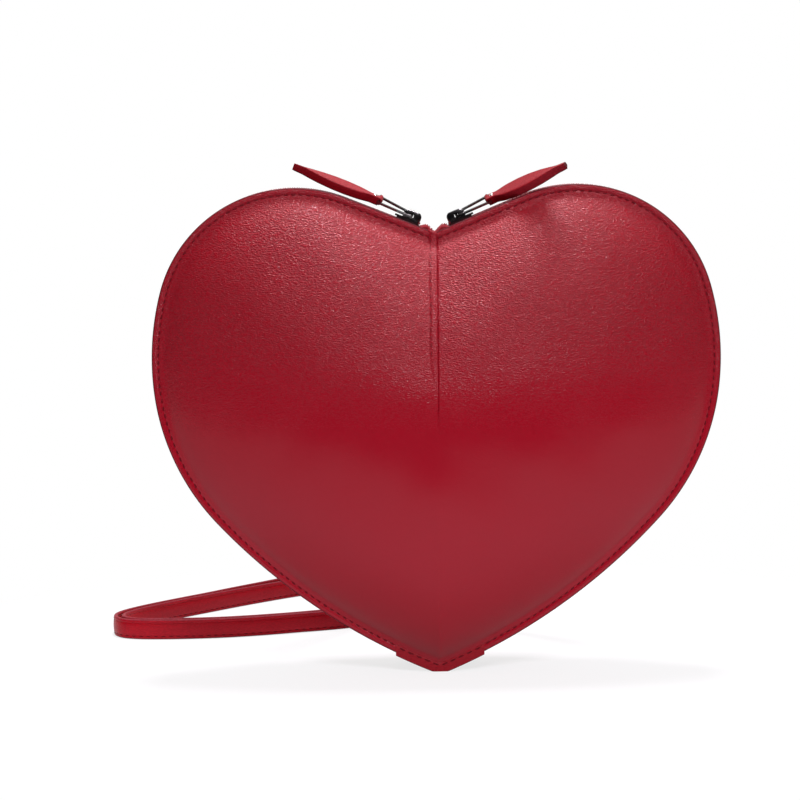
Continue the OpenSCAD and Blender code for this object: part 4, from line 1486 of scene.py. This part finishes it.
@dataclass
class Pull:
    """The leather of one pull: two plies in the shape of a leaf, sewn together at their edges.

    UPPER and LOWER are sections of the plies, by share of half their width and of their
    thickness, and LENGTHS and WIDTHS give the leaf's outline in shares of its length and width,
    with its last rows at the shares of the length in END. PIN is the profile of the pin by radius
    and height, in millimetres.
    """

    side: Side
    finishes: Finishes
    pivot: Point = (-1.166 * MM, 0.0, 3.012 * MM)
    link_len: float = 15.2 * MM
    length: float = 38.5 * MM
    width: float = 9.4 * MM
    ply: float = 1.45 * MM
    samples: int = 401
    softened: int = 25
    overshoot: float = 0.02
    rows: int = 60
    tip_from: float = 0.75
    tip_thinning: float = 0.12
    end_from: float = 0.985
    end_share: float = 0.93
    apart: tuple[float, float] = (0.02 * MM, 0.06 * MM)
    fold_radii: tuple[float, float] = (1.6 * MM, 0.95 * MM)
    fold_half: float = 2.2 * MM
    fold_turn: tuple[float, float] = (84.0, 276.0)
    seam: float = 0.72
    seam_sunk: float = 0.08 * MM
    seam_run: tuple[float, float] = (0.12, 0.93)
    stitch_pitch: float = 2.6 * MM
    stitch_len: float = 1.8 * MM
    stitch_w: float = 0.3 * MM
    pin_at: float = 2.1 * MM
    POSES = {Side.LEFT: Pose(4.5, 4, 0, 22), Side.RIGHT: Pose(3, 1, -28, 30)}
    UPPER = (
        (-1.0, 0.95), (-0.99, 1.1), (-0.965, 1.2), (-0.92, 1.27), (-0.85, 1.29), (-0.6, 1.2),
        (-0.3, 1.08), (0.0, 0.96), (0.3, 0.85), (0.5, 0.78), (0.7, 0.71), (0.85, 0.64), (0.95, 0.54),
        (0.985, 0.4), (1.0, 0.2),
    )
    LOWER = (
        (-0.99, 0.98), (-0.98, 1.13), (-0.955, 1.22), (-0.92, 1.27), (-0.8, 1.27), (-0.4, 1.15),
        (0.4, 0.95), (0.85, 0.85), (0.94, 0.75), (0.975, 0.6), (0.99, 0.4),
    )
    LENGTHS = (0.0, 0.03, 0.1, 0.22, 0.38, 0.52, 0.68, 0.8, 0.88, 1.0)
    WIDTHS = (0.532, 0.532, 0.5, 0.84, 1.0, 0.98, 0.78, 0.5, 0.3, 0.24)
    END = (0.97, 0.99, 0.997, 1.0)
    PIN = ((0.25, 1.85), (0.6, 1.74), (0.86, 1.56), (0.9, 1.4), (0.62, 1.36))
    PIN_MIDDLE = (0.62, 0.0)

    def frames(self) -> tuple[Array, Array, Array]:
        """The place of the bar, and the directions of the leather and of the bar's link."""
        pose = self.POSES[self.side]
        link = turned(-math.degrees(HEART.cleft_slope) - pose.lean, "Y")
        bar = FITTINGS.on_zip(np.array(self.pivot)) + link @ np.array([self.link_len, 0, 0])
        way = link @ turned(pose.droop, "Y") @ turned(pose.turn, "Z") @ turned(pose.roll, "X")
        return bar, way, link @ turned(pose.link_roll, "X")

    def half_width(self, u: Array) -> Array:
        """Half the width of the leaf at a share of its length."""
        fine = np.linspace(0, 1, self.samples)
        flat = np.interp(fine, self.LENGTHS, self.WIDTHS)
        kernel = np.hanning(self.softened)
        padded = np.pad(flat, self.softened // 2, mode="edge")
        soft = np.convolve(padded, kernel / kernel.sum(), mode="valid")
        return np.interp(u, fine, np.minimum(soft, flat + self.overshoot)) * self.width / 2

    def thinned(self, u: Array) -> Array:
        """Share of the thickness that is left towards the tip."""
        return 1 - self.tip_thinning * smooth_step(self.tip_from, 1.0, u)

    def world(self, local: Array, way: Array, origin: Array) -> Array:
        """Points of the leather's own frame in the frame of the purse."""
        return mirrored(local @ way.T + origin, self.side)

    def leaf(self, upper: bool) -> Piece:
        """One ply, its two ends painted, and on the lower one also the rounded corners along both
        sides; the upper one has a soft ridge along it.
        """
        origin, way, _ = self.frames()
        sign = 1 if upper else -1
        u = np.concatenate([np.linspace(0.0, self.END[0], self.rows), self.END[1:]])
        section = np.array(self.UPPER if upper else self.LOWER)
        across, level = section[:, 0], section[:, 1] * self.ply
        swell = (self.thinned(u) * np.where(u > self.end_from, self.end_share, 1.0))[:, None]
        x = np.broadcast_to((u * self.length)[:, None], (len(u), len(across)))
        y = self.half_width(u)[:, None] * across[None, :]
        outer = np.stack([x, y, sign * level[None, :] * swell], axis=-1)
        inner = np.stack([x, y, np.full_like(y, -self.apart[int(upper)])], axis=-1)
        rings = np.concatenate([outer, inner[:, ::-1]], axis=1)
        n = len(across)
        painted = np.zeros(2 * n, dtype=int)
        if not upper:
            painted[[0, 1, n - 3, n - 2]] = 1
        word = "upper" if upper else "lower"
        piece = Piece(f"{self.side.word}_pull_{word}", self.finishes.pull, self.finishes.paint)
        piece.tube(self.world(rings, way, origin), painted[None, :], 1)
        return piece

    def fold(self, piece: Piece) -> None:
        """Adds the part of the upper ply that is folded round the bar."""
        origin, _, way = self.frames()
        outer, inner = self.fold_radii
        half = [(outer, 0.9), (outer, 0.97), (outer * 0.96, 1.0), (inner, 1.0)]
        whole = half + [(r, -w) for r, w in reversed(half)]
        rings = np.array([
            [(r * math.cos(a), w * self.fold_half, r * math.sin(a)) for r, w in whole]
            for a in np.radians(np.linspace(*self.fold_turn, 22))
        ])
        piece.tube(self.world(rings, way, origin))

    def stitches(self) -> Piece:
        """A row of stitches along each edge of each face."""
        origin, way, _ = self.frames()
        sewing = Piece(f"{self.side.word}_pull_stitches", self.finishes.thread)
        u = np.arange(*self.seam_run, self.stitch_pitch / self.length)
        rods = Capsules(self.stitch_len, self.stitch_w, around=5, along=4)
        for face in (-1, 1):
            section = np.array(self.UPPER if face > 0 else self.LOWER)
            for seam in (-self.seam, self.seam):
                ply = np.interp(seam, section[:, 0], section[:, 1]) * self.ply
                level = ply - self.seam_sunk
                height = face * level * self.thinned(u)
                local = np.stack([u * self.length, seam * self.half_width(u), height], axis=-1)
                out = np.tile(np.array([0.0, 0.0, float(face)]), (len(u), 1))
                rods.sew(
                    sewing, self.world(local, way, origin),
                    *(self.world(v, way, np.zeros(3)) for v in (np.gradient(local, axis=0), out)),
                )
        return sewing

    def pin(self) -> Piece:
        """The pin behind the bar, with a low domed head on each face."""
        origin, way, _ = self.frames()
        profile = [*self.PIN, self.PIN_MIDDLE, *((r, -h) for r, h in reversed(self.PIN))]
        turn = np.linspace(0, 2 * math.pi, 20, endpoint=False)
        rings = np.array([
            [(self.pin_at + r * MM * math.cos(a), r * MM * math.sin(a), h * MM) for a in turn]
            for r, h in profile
        ])
        piece = Piece(f"{self.side.word}_pin", self.finishes.nickel)
        piece.tube(self.world(rings, way, origin))
        return piece

    def make(self) -> list[bpy.types.Object]:
        """Makes both plies, the stitches, and the pin with its heads."""
        name = self.side.word
        body = f"{name}_pull"
        upper, lower = self.leaf(True), self.leaf(False)
        self.fold(upper)
        return [
            upper.make(body, "pull_leather", f"{name}_tab_upper"),
            lower.make(body, "pull_leather", f"{name}_tab_lower"),
            self.stitches().make(body, "pull_leather"),
            self.pin().make(body, "pin_metal", f"{name}_tab_pin"),
        ]


@dataclass
class Bridge:
    """The stout bow on a slider, under which the link's pivot lies.

    OUTER and INNER are its two outlines and SILL the section of the bar at its foot, in
    millimetres along the zip and off it.
    """

    side: Side
    finishes: Finishes
    width: float = 1.8 * MM
    soft: float = 0.28 * MM
    soft_middle: float = 0.3
    sill_half: float = 0.8 * MM
    OUTER = (
        (-5.3, 1.5), (-5.3, 3.5), (-4.5, 4.75), (-3.4, 5.1), (0.2, 5.1), (1.5, 4.75), (2.5, 3.6),
        (2.5, 1.5),
    )
    INNER = (
        (-2.0, 1.5), (-2.0, 2.8), (-1.9, 3.35), (-1.6, 3.72), (-0.75, 3.72), (-0.45, 3.35),
        (-0.35, 2.8), (-0.35, 1.5),
    )
    SILL = ((-2.2, -0.1), (1.45, 2.25))

    def bow(self) -> Array:
        """Rings of the bow, a band of one width with its outer edges rounded."""
        half, soft = self.width / 2, self.soft
        corner = ((soft, 0.0), (soft * self.soft_middle,) * 2, (0.0, soft))
        rings = []
        for o, i in zip(halved(np.array(self.OUTER) * MM), halved(np.array(self.INNER) * MM)):
            drawn = (o - i) / np.linalg.norm(o - i)
            side = [(i, half), *((o - drawn * back, half - aside) for back, aside in corner)]
            ring = [(p, -y) for p, y in side] + side[::-1]
            rings.append([(p[0], y, p[1]) for p, y in ring])
        return np.array(rings)

    def sill(self) -> Array:
        """Rings of the bar at the foot of the bow."""
        y, (low, high) = self.sill_half, np.array(self.SILL[1]) * MM
        return np.array([
            [(x * MM, y, low), (x * MM, -y, low), (x * MM, -y, high), (x * MM, y, high)]
            for x in self.SILL[0]
        ])

    def make(self) -> list[bpy.types.Object]:
        """Makes the bow and the bar at its foot."""
        name = self.side.word
        piece = Piece(f"{name}_bridge_metal", self.finishes.gunmetal)
        for local in (self.bow(), self.sill()):
            piece.tube(mirrored(FITTINGS.on_zip(local), self.side))
        return [piece.make(f"{name}_runner", "slider_metal", f"{name}_bridge")]


@dataclass
class Packed:
    """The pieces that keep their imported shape: the linings, the pocket, and metal parts.

    METALS gives the width in millimetres to which each metal part's edges are rounded.
    """

    finishes: Finishes
    steps: int = 3
    sharp: float = math.radians(35)
    CLOTHS = ("front_lining", "back_lining", "gusset_lining", "inner_pocket")
    METALS = (("slider", 0.38), ("link", 0.38), ("zip_stop", 0.3))

    @staticmethod
    def dress(name: str, material: bpy.types.Material) -> bpy.types.Object:
        """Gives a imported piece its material."""
        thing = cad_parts[name]
        thing.data.materials.clear()
        thing.data.materials.append(material)
        return thing

    def make(self) -> list[bpy.types.Object]:
        """Dresses them all, and rounds the edges of the metal."""
        dressed = [self.dress(name, self.finishes.cloth) for name in self.CLOTHS]
        for side in (Side.LEFT, Side.RIGHT):
            for part, width in self.METALS:
                metal = self.finishes.wire if part == "link" else self.finishes.gunmetal
                thing = self.dress(f"{side.word}_{part}", metal)
                bevel = thing.modifiers.new("round", "BEVEL")
                bevel.width, bevel.segments, bevel.limit_method = width * MM, self.steps, "ANGLE"
                bevel.angle_limit = self.sharp
                bevel.harden_normals = False
                dressed.append(thing)
        return dressed


@dataclass(frozen=True)
class Lamp:
    """A rectangular soft light: its place, the point that it faces, its size, and its watts."""

    name: str
    place: Point
    aim: Point
    size: tuple[float, float]
    power: float
    reflected: bool = True
    colour: Point = (1.0, 0.95, 1.03)

    def make(self) -> None:
        """Makes the light."""
        data = bpy.data.lights.new(self.name, "AREA")
        data.shape, data.size, data.size_y = "RECTANGLE", *self.size
        data.energy, data.color = self.power, self.colour
        light = bpy.data.objects.new(self.name, data)
        way = Vector(self.aim) - Vector(self.place)
        light.location = self.place
        light.rotation_euler = way.to_track_quat("-Z", "Y").to_euler()
        light.visible_glossy = self.reflected
        bpy.context.scene.collection.objects.link(light)


@dataclass
class Studio:
    """The camera, the lights, the white surroundings, the black cards and the floor.

    The surroundings light the purse from above, between two heights of the direction, and more
    from behind than from ahead, between two turns of it. The floor has one tone for light that it
    throws on the purse, near and far, and another with a glow where it shows, which turns pure
    white outside the shadow. The fades are distances from the purse between which one gives way
    to the other.
    """

    distance: float = 0.970
    height: float = 0.210
    beside: float = -0.0154
    pitch: float = math.radians(5.628)
    roll: float = math.radians(-0.85)
    lens: float = 103.76
    sensor: float = 36.0
    clip: tuple[float, float] = (0.05, 20.0)
    pixels: int = 800
    sky: float = 0.5
    sky_heights: tuple[float, float] = (0.2, 0.9)
    ahead: float = 0.05
    behind: float = 0.5
    side_turns: tuple[float, float] = (-0.8, 0.3)
    floor_reach: float = 4.0
    floor_near: Colour = (0.64, 0.55, 0.7, 1.0)
    floor_far: float = 0.05
    floor_tone: float = 0.2
    floor_glow: float = 0.76
    floor_fades: tuple[float, float] = (0.5, 0.22)
    shadow_fades: tuple[float, float] = (0.27, 0.15)
    card_tone: float = 0.01
    card_half: float = 1.3
    card_ahead: float = 1.3
    card_behind: float = 0.2
    card_near: float = 0.36
    card_low: float = 0.004
    card_high: float = 1.9
    LAMPS = (
        Lamp("key", (0.2, -0.92, 0.97), (0, 0, 0.12), (0.3, 0.42), 12.8),
        Lamp("top", (0.02, 0.18, 1.2), (0, 0.02, 0.05), (0.34, 0.28), 18.0),
        Lamp("fill", (-0.1, -1.1, 0.3), (0, 0, 0.1), (1.0, 0.4), 2.3, reflected=False),
    )

    def camera(self) -> None:
        """Makes the camera where the photograph was taken from."""
        data = bpy.data.cameras.new("camera")
        data.lens, data.sensor_width = self.lens, self.sensor
        data.clip_start, data.clip_end = self.clip
        camera = bpy.data.objects.new("camera", data)
        camera.location = (self.beside, -self.distance, self.height)
        turn = Matrix.Rotation(math.pi / 2 - self.pitch, 3, "X") @ Matrix.Rotation(self.roll, 3, "Z")
        camera.rotation_euler = turn.to_euler()
        bpy.context.scene.collection.objects.link(camera)
        bpy.context.scene.camera = camera

    @staticmethod
    def sheet(
        name: str, corners: Sequence[Point], material: bpy.types.Material, seen: bool = True
    ) -> None:
        """A flat sheet of the surroundings.

        Args:
            name: its name.
            corners: its four corners in turn.
            material: its material.
            seen: whether the camera sees it.
        """
        mesh = bpy.data.meshes.new(name)
        mesh.from_pydata(corners, [], [(0, 1, 2, 3)])
        mesh.materials.append(material)
        sheet = bpy.data.objects.new(name, mesh)
        sheet.visible_camera = seen
        bpy.context.scene.collection.objects.link(sheet)

    def cards(self) -> None:
        """Black cards in front and at the sides, out of the picture, that keep reflections dark."""
        black = Shader("card").surface(
            Base_Color=grey(self.card_tone), Roughness=1.0, Specular_IOR_Level=0.0
        )
        wide, front, back, near = self.card_half, -self.card_ahead, self.card_behind, -self.card_near
        low, high = self.card_low, self.card_high
        ends = {
            "card_front": ((-wide, front), (wide, front)),
            "card_left": ((-wide, front), (-wide, back)),
            "card_right": ((wide, front), (wide, back)),
        }
        for name, (one, other) in ends.items():
            corners = [(*one, low), (*other, low), (*other, high), (*one, high)]
            self.sheet(name, corners, black, seen=False)
        corners = [(-wide, front, low), (wide, front, low), (wide, near, low), (-wide, near, low)]
        self.sheet("card_low", corners, black, seen=False)

    def world(self) -> None:
        """Soft light from above and from behind, before a pure white background."""
        world = bpy.data.worlds.new("studio")
        world.use_nodes = True
        nodes = Nodes(world.node_tree)
        _, y, z = nodes.axes(nodes.add("ShaderNodeTexCoord").output("Generated"))
        above = z.between(*self.sky_heights, 0.0, self.sky)
        light = above + y.between(*self.side_turns, self.ahead, self.behind)
        lit = nodes.add("ShaderNodeBackground", {}, Strength=light)
        seen = nodes.add("ShaderNodeBackground", {}, Color=grey(1.0))
        surface = nodes.add("ShaderNodeMixShader", {}, nodes.shown(), lit, seen)
        nodes.end("ShaderNodeOutputWorld", surface)
        bpy.context.scene.world = world

    def floor(self) -> None:
        """A white floor that fades into the background, and is lit only round the purse."""
        s = Shader("floor")
        flat = s.stretched(s.place(), (1, 1, 0))
        away = s.add("ShaderNodeVectorMath", {"operation": "LENGTH"}, flat)
        plain = s.mix(away.step(*self.floor_fades), grey(self.floor_far), self.floor_near)
        shaded = away.step(*self.shadow_fades)
        shown = s.shown()
        tone = s.mix(shaded, grey(0.0), grey(self.floor_tone))
        glow = s.mix(shaded, grey(1.0), grey(self.floor_glow))
        material = s.surface(
            Base_Color=s.mix(shown, plain, tone), Roughness=0.9, Specular_IOR_Level=0.0,
            Emission_Color=s.mix(shown, grey(0.0), glow), Emission_Strength=1.0,
        )
        r = self.floor_reach
        self.sheet("floor", [(-r, -r, 0), (r, -r, 0), (r, r, 0), (-r, r, 0)], material)

    def build(self) -> None:
        """Makes the whole studio but the camera, and sets how the picture is shown."""
        self.world()
        self.floor()
        self.cards()
        for lamp in self.LAMPS:
            lamp.make()
        scene = bpy.context.scene
        scene.view_settings.view_transform = "Standard"
        scene.render.resolution_x = scene.render.resolution_y = self.pixels


def tell(word: str, pieces: Iterable[bpy.types.Object]) -> None:
    """Reports each piece of a sub-assembly.

    Args:
        word: what the sub-assembly is.
        pieces: its pieces.
    """
    for piece in pieces:
        LOG.info("%s: %s, %d faces", word, piece.name, len(piece.data.polygons))


def main() -> None:
    """Makes the purse and its surroundings."""
    logging.basicConfig(level=logging.INFO, format="%(name)s %(message)s")
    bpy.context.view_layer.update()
    finishes = Finishes()
    studio = Studio()
    studio.camera()
    tell("strap", Strap(finishes).make())
    for side in (Side.FRONT, Side.BACK):
        tell("panel", Panel(side, finishes).make())
        tell("dart", Dart(side, finishes).make())
    tell("zip", Zip(finishes).make())
    tell("gusset", Gusset(finishes).make())
    tell("tip patch", Patch(finishes).make())
    for side in (Side.LEFT, Side.RIGHT):
        tell("strap anchor", Anchor(side, finishes).make())
        tell("slider", Bridge(side, finishes).make())
        tell("pull", Pull(side, finishes).make())
    tell("packed piece", Packed(finishes).make())
    studio.build()
    LOG.info("the purse is made")


if __name__ == "__main__":
    main()
